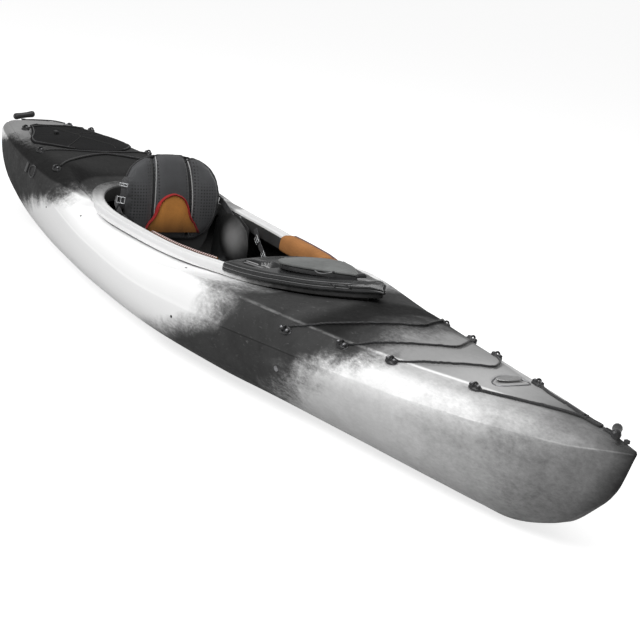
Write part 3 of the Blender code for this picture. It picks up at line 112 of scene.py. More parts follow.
RIM_Z = [
    (-0.791, 0.335), (-0.6, 0.315), (-0.4, 0.307), (-0.09, 0.307), (0.086, 0.313), (0.215, 0.322),
    (0.31, 0.327), (0.415, 0.338), (0.485, 0.349), (0.575, 0.363), (0.655, 0.379), (0.728, 0.395),
    (0.787, 0.41),
]
WALL = 0.006
KEEL_FLAT = 0.04
CAVITY_AFT = -1.79
CAVITY_FORE = 1.71
WELL_X = -1.33
WELL_HALF_LENGTH = 0.2
WELL_HALF_WIDTH = 0.165
WELL_DEPTH = 0.085
WELL_POWER = 3
CREST_X = -0.55
CREST_LENGTH = 0.55
CREST_HALF_WIDTH = 0.275
MOAT_FLOOR_Z = 0.289
MOAT_POWER = 2.6
RIM_MID_X = -0.399
RIM_AFT_X = -0.791
RIM_FORE_X = 0.787
RIM_HALF_WIDTH = 0.287
RIM_BAND = 0.043
RIM_FORE_BAND = 0.075
LIP_DROP = 0.03
RIM_FORE_POWERS = (2.13, 0.83)
RIM_AFT_POWERS = (2.61, 2.56)
HOLE_SHARE = 0.93


def curve_through(points):
    """Monotone cubic curve through (x, value) points, as a function."""
    xs = [p[0] for p in points]
    ys = [p[1] for p in points]
    steps = [b - a for a, b in zip(xs, xs[1:])]
    slopes = [(b - a) / s for a, b, s in zip(ys, ys[1:], steps)]
    tangents = [slopes[0]] + [0.0] * (len(xs) - 2) + [slopes[-1]]
    for i in range(1, len(xs) - 1):
        before, after = slopes[i - 1], slopes[i]
        if before * after > 0:
            w1 = 2 * steps[i] + steps[i - 1]
            w2 = steps[i] + 2 * steps[i - 1]
            tangents[i] = (w1 + w2) / (w1 / before + w2 / after)

    def value(at):
        at = min(max(at, xs[0]), xs[-1])
        i = 0
        while i < len(xs) - 2 and at > xs[i + 1]:
            i += 1
        t = (at - xs[i]) / steps[i]
        return (
            (1 + 2 * t) * (1 - t) ** 2 * ys[i]
            + t * (1 - t) ** 2 * steps[i] * tangents[i]
            + t * t * (3 - 2 * t) * ys[i + 1]
            + t * t * (t - 1) * steps[i] * tangents[i + 1]
        )

    return value


sheer_y = curve_through(SHEER_Y)
sheer_z = curve_through(SHEER_Z)
keel_z = curve_through(KEEL_Z)
edge_y = curve_through(EDGE_Y)
edge_z = curve_through(EDGE_Z)
crown_z = curve_through(CROWN_Z)
crown_power = curve_through(CROWN_POWER)
bilge_power = curve_through(BILGE_POWER)
rim_top = curve_through(RIM_Z)


def eased(t):
    t = min(max(t, 0.0), 1.0)
    return t * t * (3 - 2 * t)


def bump(t, width):
    return math.exp(-((t / width) ** 2))


def relief(at, detail):
    """Height here of a ridge or groove given as (height, place, width)."""
    height, place, width = detail
    return height * bump(at - place, width)


# Mesh helpers


def linked(name, data):
    obj = bpy.data.objects.new(name, data)
    SCENE.collection.objects.link(obj)
    return obj


def baked(obj):
    """Turn the object's modifiers into its mesh."""
    graph = bpy.context.evaluated_depsgraph_get()
    mesh = bpy.data.meshes.new_from_object(obj.evaluated_get(graph))
    obj.modifiers.clear()
    obj.data = mesh
    return mesh


def add(name, verts, faces, material=None, body="hull", smooth=True, sharp=None):
    mesh = bpy.data.meshes.new(name)
    mesh.from_pydata([tuple(v) for v in verts], [], faces)
    shape = bmesh.new()
    shape.from_mesh(mesh)
    bmesh.ops.recalc_face_normals(shape, faces=shape.faces)
    shape.to_mesh(mesh)
    shape.free()
    return finish_piece(linked(name, mesh), material, body, smooth, sharp)


def finish_piece(obj, material, body, smooth=True, sharp=None):
    """Give the mesh a material by its name in MATERIAL, and ride it on the body."""
    if material:
        obj.data.materials.clear()
        obj.data.materials.append(MATERIAL[material])
    if smooth:
        for polygon in obj.data.polygons:
            polygon.use_smooth = True
        if sharp:
            obj.data.set_sharp_from_angle(angle=math.radians(sharp))
    if body:
        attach(obj, body)
    return obj


def stands_for(obj, node):
    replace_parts(obj, node)
    return obj


def loft(name, sections, material=None, body="hull", ring=False, sharp=None):
    """Closed loops of equal length joined in order. A ring joins the last to the first."""
    count = len(sections[0])
    verts = [point for section in sections for point in section]
    faces = []
    for i in range(len(sections) if ring else len(sections) - 1):
        a = i * count
        b = ((i + 1) % len(sections)) * count
        for j in range(count):
            k = (j + 1) % count
            faces.append((a + j, a + k, b + k, b + j))
    if not ring:
        last = (len(sections) - 1) * count
        faces += [tuple(reversed(range(count))), tuple(range(last, last + count))]
    return add(name, verts, faces, material, body, sharp=sharp)


def cut(obj, other, operation):
    """Boolean of two closed meshes. The other one is used up."""
    modifier = obj.modifiers.new("cut", "BOOLEAN")
    modifier.operation = operation
    modifier.solver = "EXACT"
    modifier.object = other
    baked(obj)
    bpy.data.objects.remove(other, do_unlink=True)


def frame_along(origin, axis, up=(0, 0, 1)):
    """Matrix whose Z runs along the axis and whose X is as near to up as it can be."""
    z = Vector(axis).normalized()
    x = Vector(up) - z * Vector(up).dot(z)
    if x.length < 1e-6:
        x = Vector((1, 0, 0)) - z * z.x
    x.normalize()
    matrix = Matrix((x, z.cross(x), z)).transposed().to_4x4()
    matrix.translation = Vector(origin)
    return matrix


# Materials


class Signal:
    """A number or colour that runs through a material, for plain arithmetic."""

    def __init__(self, nodes, socket):
        self.nodes = nodes
        self.socket = socket

    def __add__(self, other):
        return self.nodes.math("ADD", self, other)

    def __radd__(self, other):
        return self.nodes.math("ADD", other, self)

    def __sub__(self, other):
        return self.nodes.math("SUBTRACT", self, other)

    def __rsub__(self, other):
        return self.nodes.math("SUBTRACT", other, self)

    def __mul__(self, other):
        return self.nodes.math("MULTIPLY", self, other)

    def __truediv__(self, other):
        return self.nodes.math("DIVIDE", self, other)

    def __pow__(self, other):
        return self.nodes.math("POWER", self, other)

    def __abs__(self):
        return self.nodes.math("ABSOLUTE", self)


class Nodes:
    """Short ways to wire up a material."""

    def __init__(self, name, rough=0.5, metal=0.0):
        self.material = bpy.data.materials.new(name)
        self.material.use_nodes = True
        self.tree = self.material.node_tree
        self.shader = self.tree.nodes["Principled BSDF"]
        self.set("Base Color", (0.5, 0.5, 0.5))
        self.set("Roughness", rough)
        self.set("Metallic", metal)
        self.coords = self.node("ShaderNodeTexCoord", {}, "Object")

    def node(self, kind, inputs, output=0, **settings):
        """Signal from an output of a new node."""
        made = self.tree.nodes.new(kind)
        for key, value in settings.items():
            setattr(made, key, value)
        for key, value in inputs.items():
            self.put(made.inputs[key], value)
        return Signal(self, made.outputs[output])

    def put(self, socket, value):
        if isinstance(value, Signal):
            self.tree.links.new(value.socket, socket)
        elif isinstance(value, tuple) and len(value) == 3 and socket.type == "RGBA":
            socket.default_value = (*value, 1)
        else:
            socket.default_value = value

    def set(self, name, value):
        self.put(self.shader.inputs[name], value)

    def math(self, operation, a, b=0.0, clamp=False):
        return self.node("ShaderNodeMath", {0: a, 1: b}, operation=operation, use_clamp=clamp)

    def scaled(self, by):
        return self.node("ShaderNodeVectorMath", {0: self.coords, 1: by}, operation="MULTIPLY")

    def split(self):
        made = self.tree.nodes.new("ShaderNodeSeparateXYZ")
        self.put(made.inputs[0], self.coords)
        return [Signal(self, socket) for socket in made.outputs]

    def joined(self, x, y, z):
        return self.node("ShaderNodeCombineXYZ", {0: x, 1: y, 2: z})

    def noise(self, scale, detail=2.0, rough=0.5, distort=0.0, vector=None):
        return self.node("ShaderNodeTexNoise", {
            "Vector": vector or self.coords, "Scale": scale, "Detail": detail, "Roughness": rough,
            "Distortion": distort,
        }, "Fac")

    def ranged(self, value, low, high, out_low=0.0, out_high=1.0, smooth=False):
        return self.node("ShaderNodeMapRange", {
            "Value": value, "From Min": low, "From Max": high, "To Min": out_low, "To Max": out_high,
        }, interpolation_type="SMOOTHSTEP" if smooth else "LINEAR")

    def curve(self, value, points):
        """Straight lines through (value, result) points, clamped at the ends."""
        low, high = points[0][0], points[-1][0]
        least = min(p[1] for p in points)
        rise = max(p[1] for p in points) - least
        made = self.tree.nodes.new("ShaderNodeFloatCurve")
        self.put(made.inputs["Value"], self.ranged(value, low, high))
        line = made.mapping.curves[0]
        while len(line.points) < len(points):
            line.points.new(0.5, 0.5)
        for point, (x, y) in zip(line.points, points):
            point.location = ((x - low) / (high - low), (y - least) / rise)
            point.handle_type = "VECTOR"
        made.mapping.update()
        return self.ranged(Signal(self, made.outputs[0]), 0.0, 1.0, least, least + rise)

    def mix(self, share, a, b):
        return self.node("ShaderNodeMix", {"Factor": share, 6: a, 7: b}, 2, data_type="RGBA")

    def bump(self, height, strength, distance):
        return self.node("ShaderNodeBump", {"Strength": strength, "Distance": distance, "Height": height})


def grey(value):
    return (value, value, value)


def tinted(colour, by):
    return tuple(min(c * by, 1) for c in colour)


# Where the pigments meet, as (height, x) points, and how pale the bow is along its length
STERN_LINE = [
    (0.0, -1.42), (0.1, -1.31), (0.155, -1.14), (0.205, -1.0), (0.24, -0.88), (0.262, -0.79),
    (0.285, -0.74), (0.33, -0.72), (0.37, -0.7),
]
MIDDLE_LINE = [
    (0.0, -0.05), (0.037, 0.03), (0.065, 0.1), (0.102, 0.19), (0.142, 0.29), (0.18, 0.385), (0.21, 0.45),
    (0.27, 0.46), (0.288, 0.44), (0.305, 0.37), (0.37, 0.33),
]
FORE_LINE = [
    (0.0, 0.68), (0.073, 0.74), (0.114, 0.79), (0.16, 0.86), (0.2, 0.88), (0.235, 0.93), (0.27, 1.02),
    (0.3, 1.07), (0.34, 1.03), (0.37, 0.99),
]
TIP_LINE = [
    (-1.905, 0.2), (-1.8, 0.24), (-1.65, 0.29), (-1.5, 0.325), (-1.38, 0.34), (-1.25, 0.352), (-1.1, 0.37),
]
BOW_SIDE_SHADE = [
    (0.9, 0.56), (1.2, 0.55), (1.4, 0.45), (1.55, 0.33), (1.7, 0.21), (1.8, 0.18), (1.905, 0.09),
]
BOW_EDGE_SHADE = [
    (0.9, 0.72), (1.05, 0.82), (1.35, 0.78), (1.5, 0.6), (1.62, 0.44), (1.75, 0.25), (1.905, 0.12),
]
BOW_DECK_SHADE = [(0.9, 0.27), (1.2, 0.28), (1.4, 0.38), (1.55, 0.27), (1.68, 0.12), (1.9, 0.09)]
STEM_LINE = [(0.0, 1.58), (0.05, 1.7), (0.1, 1.765), (0.2, 1.84), (0.3, 1.885), (0.36, 1.9)]
WHITE = 0.84


def hull_material():
    """Two pigments blown together: dark at the stern and under the work deck, white between, grey bow."""
    n = Nodes("hull_plastic", rough=0.34)
    x, y, z = n.split()
    clouds = n.noise(2.6, 3, 0.55)
    patches = n.noise(9.0, 4, 0.6, 0.5)
    drawn = n.scaled((0.5, 1, 1))
    clumps = n.noise(46.0, 4, 0.7, 0.2, vector=drawn)
    specks = n.noise(118.0, 3, 0.75, vector=drawn)

    def centred(value, by):
        return (value - 0.5) * by

    drift = centred(clouds, 0.2) + centred(patches, 0.24)
    grit = centred(clumps, 1.9) + centred(specks, 4.2)
    shift = drift + centred(specks, 0.3)

    def past(line, soft):
        """0 aft of the line and 1 forward of it: a smoky edge with specks of both pigments in it."""
        along = x - n.curve(z, line) + drift
        share = n.ranged(along, -soft, soft, smooth=True)
        mixed = share * (1 - share)
        share = n.math("ADD", share, mixed * grit, clamp=True)
        return share ** 1.5

    white = past(STERN_LINE, 0.13) * (1 - past(MIDDLE_LINE, 0.12) ** 0.45)
    fore = past(FORE_LINE, 0.12)

    seam = n.curve(x, [(px, pz) for px, pz in SHEER_Z if px > 0.3])
    crease = n.curve(x, [(px, pz) for px, pz in EDGE_Z if px > 0.2])
    starboard = n.ranged(y, 0.05, 0.0)
    above = n.ranged(z - seam, -0.06, 0.016, smooth=True)
    deck = n.ranged(z - crease, -0.004, 0.005, smooth=True)
    low_shade = n.curve(x, BOW_SIDE_SHADE)
    high_shade = n.curve(x, BOW_EDGE_SHADE)
    brow = n.ranged(crease - z, 0.034, 0.004, smooth=True)
    high_shade = high_shade * (1 - brow * 0.42)
    side = high_shade * above + low_shade * (1 - above)
    # Painted highlight along the parting seam's bead, in the pale bow.
    line = n.ranged(abs(z - seam), 0.0028, 0.0012)
    side = side + line * n.ranged(patches, 0.42, 0.6) * 0.09
    pale = side * (1 - deck) + n.curve(x, BOW_DECK_SHADE) * deck
    toward_bow = n.ranged(x, 1.15, 1.6, 0.35, 1.0)
    cloudy = centred(patches, 1.0) + (centred(clumps, 0.7) + centred(specks, 0.75))
    cloudy = cloudy * (toward_bow * (1 - deck * 0.75))
    pale = pale * (1.0 + cloudy)
    stem = x - n.curve(z, STEM_LINE)
    stem = n.ranged(stem + centred(patches, 0.08), -0.035, 0.03)
    pale = pale * (1 - stem * 0.85)

    dark = n.ranged(patches, 0.3, 0.75, 0.03, 0.052)
    fleck = n.ranged(specks, 0.58, 0.72) * n.ranged(clumps, 0.4, 0.65)
    dark = dark + fleck * 0.07
    tip = z - n.curve(x, TIP_LINE) + shift * 0.16
    tip = n.ranged(tip, -0.02, 0.016, smooth=True) * n.ranged(x, -1.12, -1.5)
    dark = dark * (1 - tip) + tip * 0.9
    # Painted highlights along the crease's lit edge on the starboard side: glint in the pale bow, ridge in
    # the dark pigment.
    glint = n.ranged(abs(z - crease + 0.001), 0.0028, 0.001) * starboard
    pale = pale + glint * n.ranged(x, 1.62, 1.35) * 0.34
    ridge = n.ranged(abs(z - crease + 0.002), 0.0034, 0.001) * n.ranged(x, 0.44, 0.56) * starboard
    dark = dark + ridge * n.ranged(clumps, 0.35, 0.6, 0.15, 1.0) * 0.12
    joint = n.ranged(abs(z - n.curve(x, SHEER_Z)), 0.0026, 0.0012) * n.ranged(x, 0.26, 0.36)
    dark = dark * (1 - joint * 0.4)
    # Painted light on the aft deck's crest face, which faces the cockpit.
    lit_crest_face = (n.ranged(abs(x + 1.08), 0.16, 0.09, smooth=True)
            * (n.ranged(abs(y), 0.25, 0.2) * n.ranged(z, 0.3, 0.315)))
    dark = dark + lit_crest_face * 0.05
    # Painted shade on the foredeck around the first cord steps.
    painted_step_shade = n.ranged(abs(x - 0.84), 0.12, 0.03, smooth=True) * deck
    dark = dark * (1 - painted_step_shade * 0.7)
    # Painted shade: the stern's dark side darker toward its foot.
    stern_low_shade = n.ranged(z, 0.3, 0.1, smooth=True) * n.ranged(x, -1.0, -1.3)
    dark = dark * (1 - stern_low_shade * 0.75)
    shade = dark * (1 - n.math("MAXIMUM", white, fore)) + white * WHITE + fore * pale
    rim_grey = n.ranged(x, -0.5, -0.7, smooth=True) * n.ranged(z, 0.308, 0.314)
    shade = shade * (1 - rim_grey * 0.7)
    rim_face = n.ranged(z, 0.288, 0.294) * (n.ranged(x, 0.32, 0.28) * n.ranged(x, -0.62, -0.58))
    shade = n.math("MULTIPLY", shade, 1 - rim_face * 0.16, clamp=True)
    # A darker patch on the port rim top beside the seat.
    port_rim_dark_patch = (n.ranged(abs(x + 0.54), 0.06, 0.03, smooth=True)
              * (n.ranged(y, 0.15, 0.18) * n.ranged(z, 0.288, 0.294)))
    shade = shade * (1 - port_rim_dark_patch * 0.55)
    n.set("Base Color", n.joined(shade, shade, shade))
    dull = n.ranged(shade, 0.02, 0.3, 0.26, 0.0)
    n.set("Roughness", dull + n.ranged(n.noise(60.0, 3, 0.6), 0.3, 0.7, 0.36, 0.52))
    n.set("Specular IOR Level", 0.1)
    skin = n.noise(420.0, 2, 0.6) * 0.35 + n.noise(38.0, 2, 0.5)
    n.set("Normal", n.bump(skin, 0.12, 0.0012))
    return n.material


def hull_inside_material():
    """The inner skin: dark, its own colour and painted shade of the cockpit, with the mould's dull, pebbled
    finish.
    """
    n = Nodes("hull_inside", rough=0.62)
    cloud = n.noise(12.0, 4, 0.6)
    fleck = n.ranged(n.noise(230.0, 2, 0.7), 0.66, 0.76)
    base = n.mix(n.ranged(cloud, 0.3, 0.7), grey(0.018), grey(0.035))
    n.set("Base Color", n.mix(fleck * 0.35, base, grey(0.2)))
    n.set("Roughness", n.ranged(cloud, 0.3, 0.7, 0.52, 0.72))
    n.set("Normal", n.bump(n.noise(300.0, 3, 0.6), 0.4, 0.0009))
    return n.material


MATERIAL = {"hull": hull_material(), "inside": hull_inside_material()}


# Hull


def rim_point(angle, share):
    """Point of the rim's outline. Angle 0 is widest, +90 is the fore tip and -90 the aft tip."""
    side = max(math.cos(angle), 0.0)
    along = abs(math.sin(angle))
    half = RIM_HALF_WIDTH - RIM_BAND * share
    if math.sin(angle) >= 0:
        power, across = RIM_FORE_POWERS
        reach = RIM_FORE_X - RIM_FORE_BAND * share - RIM_MID_X
        return RIM_MID_X + reach * along ** (2 / power), half * side ** (2 * across)
    power, across = RIM_AFT_POWERS
    reach = RIM_MID_X - RIM_AFT_X - RIM_BAND * share
    return RIM_MID_X - reach * along ** (2 / power), half * side ** (2 / across)


def rim_half_width(x):
    if x >= RIM_MID_X:
        power, across = RIM_FORE_POWERS
        u = (x - RIM_MID_X) / (RIM_FORE_X - RIM_MID_X)
        return RIM_HALF_WIDTH * max(1 - u ** power, 0.0) ** across
    power, across = RIM_AFT_POWERS
    u = (RIM_MID_X - x) / (RIM_MID_X - RIM_AFT_X)
    return RIM_HALF_WIDTH * max(1 - u ** power, 0.0) ** (1 / across)


def rim_place(turn, share):
    turn = turn % math.tau
    if turn > math.pi:
        turn -= math.tau
    if abs(turn) <= math.pi / 2:
        return rim_point(turn, share)
    x, y = rim_point(math.copysign(math.pi, turn) - turn, share)
    return x, -y


def rounded(u, v, power):
    """1 on a rounded outline of half sizes 1, less inside it."""
    return (abs(u) ** power + abs(v) ** power) ** (1 / power)


# The deck's steps, in which three cords lie, as (x, y) of the eyes and how far the cord bows forward
STEP_EYES = [(0.74, 0.281, 0.238), (0.946, 0.225, 0.203), (1.122, 0.18, 0.196)]
STEP_BEND = 1.45
CORD_LEAD = (0.011, 0.0145)
STEP_HEIGHT = 0.0035
STEP_RAMP = 0.16
STEP_FALL = 0.006
STEP_GROOVE = 0.0042
# Shallow seats for the badge and behind the tankwell, as (x, half length, half width, depth)
BADGE_SEAT = (1.4, 0.026, 0.051, 0.0034)
STERN_SEAT = (-1.47, 0.15, 0.105, 0.006)


def step_x(i, y):
    """Where the step of this cord lies at this distance from the middle of the deck."""
    x, half, reach = STEP_EYES[i]
    share = min(abs(y) / (half - CORD_LEAD[1]), 1.0)
    return x + CORD_LEAD[0] + reach * (1 - share ** STEP_BEND)


def deck_base(x, y):
    low = edge_z(x)
    share = min(abs(y) / edge_y(x), 1.0)
    return low + (crown_z(x) - low) * (1 - share ** crown_power(x))


def deck_z(x, y, fine=True):
    z = deck_base(x, y)
    if x < CREST_X:
        aft = (x - RIM_MID_X) / (RIM_MID_X - RIM_AFT_X)
        out_of_rim = max(rounded(aft, y / RIM_HALF_WIDTH, MOAT_POWER) - 1, 0.0)
        to_crest = max(1 - rounded((x - CREST_X) / CREST_LENGTH, y / CREST_HALF_WIDTH, MOAT_POWER), 0.0)
        if to_crest > 0:
            share = out_of_rim / (out_of_rim + to_crest)
            floor = min(MOAT_FLOOR_Z, z)
            fade = eased((CREST_X - x) / 0.08)
            z -= (z - floor) * (1 - eased((share - 0.3) / 0.7)) * fade
    well = rounded((x - WELL_X) / WELL_HALF_LENGTH, y / WELL_HALF_WIDTH, WELL_POWER)
    z -= WELL_DEPTH * eased((1 - well) / 0.35)
    if fine:
        inside = eased((1 - abs(y) / edge_y(x)) / 0.12)
        if x > 0.6:
            for i in range(3):
                d = x - step_x(i, y)
                ramp = STEP_HEIGHT * (1 + d / STEP_RAMP) if -STEP_RAMP < d <= 0 else 0.0
                fall = STEP_HEIGHT * (1 - eased(d / STEP_FALL)) if d > 0 else ramp
                z += (fall - STEP_GROOVE * bump(d - 0.004, 0.0055)) * inside
        middle, half_length, half_width, depth = BADGE_SEAT
        z -= depth * eased((1.25 - ((x - middle) / half_length) ** 2 - (y / half_width) ** 2) / 0.4)
        if x < -1.5:
            middle, half_length, half_width, depth = STERN_SEAT
            z -= depth * eased((1.0 - ((x - middle) / half_length) ** 2 - (y / half_width) ** 2) / 0.25)
    return z


KEEL_SHARES = [0.0, 0.5, 1.0]
BILGE_DEGREES = [84, 77, 70, 63, 56.5, 50, 44, 38, 32.5, 27, 22, 17.5, 13.5, 10, 7, 4.5, 2.2]
SIDE_SHARES = [0.0, 0.02, 0.05, 0.12, 0.22, 0.34, 0.46, 0.58, 0.7, 0.8, 0.88, 0.94]
DECK_SHARES = [
    0.985, 0.97, 0.95, 0.92, 0.88, 0.84, 0.8, 0.76, 0.72, 0.68, 0.64, 0.6, 0.56, 0.52, 0.48, 0.44, 0.4,
    0.36, 0.32, 0.28, 0.24, 0.2, 0.16, 0.12, 0.08, 0.04, 0.0,
]
SEAM_BEAD = 0.0009
LEDGE_DROP = 0.0035


def half_section(x, inset=0.0):
    """(y, z) from the keel to the middle of the deck."""
    half = sheer_y(x) - inset
    top = sheer_z(x)
    keel = keel_z(x) + inset
    power = 2 / bilge_power(x)
    e_y = max(edge_y(x) - inset * 0.8, 0.0015)
    e_z = edge_z(x) - inset
    points = [(min(KEEL_FLAT, half * 0.2) * share, keel) for share in KEEL_SHARES]
    for degrees in BILGE_DEGREES:
        angle = math.radians(degrees)
        y = half * math.cos(angle) ** power
        if y > points[-1][0] + 1e-4:
            points.append((y, top - (top - keel) * math.sin(angle) ** power))
        else:
            points.append((points[-1][0] + 1e-4, points[-1][1] + 1e-5))
    bend_y = half - 0.2 * (half - e_y)
    bend_z = top + 0.7 * (e_z - top)
    ledge = LEDGE_DROP * min((half - e_y) / 0.02, 1.0)
    for t in SIDE_SHARES:
        y = (1 - t) ** 2 * half + 2 * t * (1 - t) * bend_y + t * t * e_y
        z = (1 - t) ** 2 * top + 2 * t * (1 - t) * bend_z + t * t * e_z
        if t in (0.0, 0.02) and not inset:
            y += SEAM_BEAD
        points.append((y, z - ledge * eased((t - 0.7) / 0.3)))
    points.append((e_y, e_z - ledge * 0.35))
    outer = edge_y(x)
    for share in DECK_SHARES:
        settle = ledge * 0.3 * eased((share - 0.9) / 0.08)
        points.append((e_y * share, deck_z(x, outer * share, not inset) - inset - settle))
    return points


def on_side(x, half, side):
    """A half section's points on one side. The starboard ones run back."""
    return [(x, side * y, z) for y, z in half[::side]]


def hull_section(x, inset=0.0):
    half = half_section(x, inset)
    return on_side(x, half, 1) + on_side(x, half[1:-1], -1)


def spread(low, high, step):
    count = max(1, round((high - low) / step))
    return [low + (high - low) * i / count for i in range(count)]


def spans(*runs):
    """Stations of several (low, high, step) runs."""
    return [x for run in runs for x in spread(*run)]


def hull_stations():
    xs = [-1.905, -1.9, -1.892, -1.88, -1.865, -1.845]
    xs += spans((-1.82, -1.55, 0.02), (-1.55, -1.04, 0.014), (-1.04, -0.5, 0.014), (-0.5, 0.7, 0.03),
                (0.7, 1.36, 0.006), (1.36, 1.44, 0.004), (1.44, 1.7, 0.02), (1.7, 1.86, 0.012))
    return xs + [1.865, 1.875, 1.885, 1.893, 1.899, 1.903, 1.905]


RIM_STEPS = 168
RIM_POINTS = 19
RIM_LINING = (12, 15)


def rim_section(turn):
    x_out, _ = rim_place(turn, 0.0)
    x_hole, y_hole = rim_place(turn, HOLE_SHARE)
    foot = min(rim_top(x_out) - 0.05, deck_z(x_hole, y_hole, False) - 0.014)
    profile = [
        (0.02, -LIP_DROP), (0.0, -LIP_DROP + 0.002), (0.0, -0.009), (0.02, -0.004), (0.07, -0.001),
        (0.14, 0.0), (0.3, -0.0006), (0.42, -0.0022), (0.55, -0.0018), (0.72, -0.0006), (0.88, -0.002),
        (0.96, -0.005), (1.0, -0.011), (1.0, None), (0.86, None), (0.86, -0.015), (0.17, -0.013),
        (0.15, -LIP_DROP + 0.002), (0.13, -LIP_DROP),
    ]
    points = []
    for share, drop in profile:
        x, y = rim_place(turn, share)
        points.append((x, y, foot if drop is None else rim_top(x_out) + drop))
    return points


def make_hull():
    hull = loft("hull_skin", [hull_section(x) for x in hull_stations()])
    inside = spread(CAVITY_AFT, CAVITY_FORE, 0.05) + [CAVITY_FORE]
    cavity = loft("cavity", [hull_section(x, WALL) for x in inside])
    turns = [math.tau * i / RIM_STEPS for i in range(RIM_STEPS)]
    hole = loft("hole", [[(*rim_place(turn, HOLE_SHARE), z) for turn in turns] for z in (0.14, 0.6)])
    rim = loft("rim", [rim_section(turn) for turn in turns], ring=True)
    for shell in (hull, cavity, rim):
        for key in ("hull", "inside"):
            shell.data.materials.append(MATERIAL[key])
    for polygon in cavity.data.polygons:
        polygon.material_index = 1
    for k, polygon in enumerate(rim.data.polygons):
        if RIM_LINING[0] <= k % RIM_POINTS <= RIM_LINING[1]:
            polygon.material_index = 1
    for other, operation in ((cavity, "DIFFERENCE"), (hole, "DIFFERENCE"), (rim, "UNION")):
        cut(hull, other, operation)
    finish_piece(hull, None, "hull", sharp=32)
    return stands_for(hull, "hull_shell")


hull = make_hull()


# Surfaces that other pieces lie on


def tree_of(*objects):
    verts = []
    faces = []
    for obj in objects:
        base = len(verts)
        verts += [obj.matrix_world @ v.co for v in obj.data.vertices]
        faces += [tuple(base + i for i in polygon.vertices) for polygon in obj.data.polygons]
    return BVHTree.FromPolygons(verts, faces)


HULL = tree_of(hull)


def dropped(tree, x, y):
    """Where a plumb line meets the surface, and the surface's upward normal there."""
    hit, normal, _, _ = tree.ray_cast(Vector((x, y, 1.0)), Vector((0, 0, -1)))
    return hit, normal if normal.z > 0 else -normal


def side_of(x, z, side):
    hit, normal, _, _ = HULL.ray_cast(Vector((x, side, z)), Vector((0, -side, 0)))
    return hit, normal if normal.y * side > 0 else -normal


def even_route(route, step):
    """Even points along a smooth curve through the route."""
    points = [Vector(p) for p in route]
    ends = [2 * points[0] - points[1]] + points + [2 * points[-1] - points[-2]]
    fine = []
    for i in range(1, len(ends) - 2):
        a, b, c, d = ends[i - 1 : i + 3]
        for k in range(24):
            t = k / 24
            fine.append(0.5 * (2 * b + (c - a) * t + (2 * a - 5 * b + 4 * c - d) * t * t
                               + (3 * b - a - 3 * c + d) * t ** 3))
    fine.append(points[-1])
    lengths = [0.0]
    for a, b in zip(fine, fine[1:]):
        lengths.append(lengths[-1] + (b - a).length)
    count = max(2, round(lengths[-1] / step))
    even = []
    for k in range(count + 1):
        want = lengths[-1] * k / count
        i = max(min(int(np.searchsorted(lengths, want)), len(fine) - 1), 1)
        span = lengths[i] - lengths[i - 1]
        even.append(fine[i - 1].lerp(fine[i], (want - lengths[i - 1]) / span if span else 0.0))
    return even


def circle(sides):
    angles = [math.tau * j / sides for j in range(sides)]
    return [(math.cos(angle), math.sin(angle)) for angle in angles]


def sweep(name, points, radius, material, body="hull", sides=10, flat=1.0, closed=False, taper=None):
    """Round or flattened tube along the points, with closed ends."""
    points = [Vector(p) for p in points]
    count = len(points)
    sections = []
    for k, point in enumerate(points):
        if closed:
            run = points[(k + 1) % count] - points[k - 1]
        else:
            run = points[min(k + 1, count - 1)] - points[max(k - 1, 0)]
        run.normalize()
        side = run.cross(Vector((0, 0, 1)))
        if side.length < 0.05:
            side = run.cross(Vector((0, 1, 0)))
        side.normalize()
        over = side.cross(run).normalized()
        r = radius * (taper(k / (count - 1)) if taper else 1.0)
        sections.append([point + side * r * c + over * r * flat * s for c, s in circle(sides)])
    return loft(name, sections, material, body, ring=closed)


def turned(name, profile, frame, sides, material, flat=1.0, body="hull"):
    """Round body from (radius, height) points about the frame's Z."""
    sections = [[frame @ Vector((radius * c, radius * flat * s, height)) for c, s in circle(sides)]
                for radius, height in profile]
    return loft(name, sections, material, body, sharp=35)


def block(name, low, high, frame, material, body, bevel):
    """Box with rounded edges."""
    low, high = [min(a, b) for a, b in zip(low, high)], [max(a, b) for a, b in zip(low, high)]
    shape = bmesh.new()
    bmesh.ops.create_cube(shape, size=1.0)
    for v in shape.verts:
        v.co = Vector([a + (b - a) * (c + 0.5) for a, b, c in zip(low, high, v.co)])
    bmesh.ops.bevel(shape, geom=shape.edges, offset=bevel, segments=3, affect="EDGES", profile=0.5)
    bmesh.ops.transform(shape, matrix=frame, verts=shape.verts)
    mesh = bpy.data.meshes.new(name)
    shape.to_mesh(mesh)
    shape.free()
    return finish_piece(linked(name, mesh), material, body, sharp=40)


def merged(name, pieces, body="hull"):
    """One object from several, keeping their materials."""
    graph = bmesh.new()
    materials = []
    for piece in pieces:
        start = len(graph.faces)
        graph.from_mesh(piece.data)
        graph.faces.ensure_lookup_table()
        slots = list(piece.data.materials)
        for material in slots:
            if material not in materials:
                materials.append(material)
        for face in graph.faces[start:]:
            face.material_index = materials.index(slots[min(face.material_index, len(slots) - 1)])
        bpy.data.objects.remove(piece, do_unlink=True)
    mesh = bpy.data.meshes.new(name)
    graph.to_mesh(mesh)
    graph.free()
    for material in materials:
        mesh.materials.append(material)
    mesh.set_sharp_from_angle(angle=math.radians(40))
    obj = linked(name, mesh)
    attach(obj, body)
    return obj


PAD_VOXEL = 0.005
PAD_PRESSURE = 4.0
PAD_FRAMES = 20


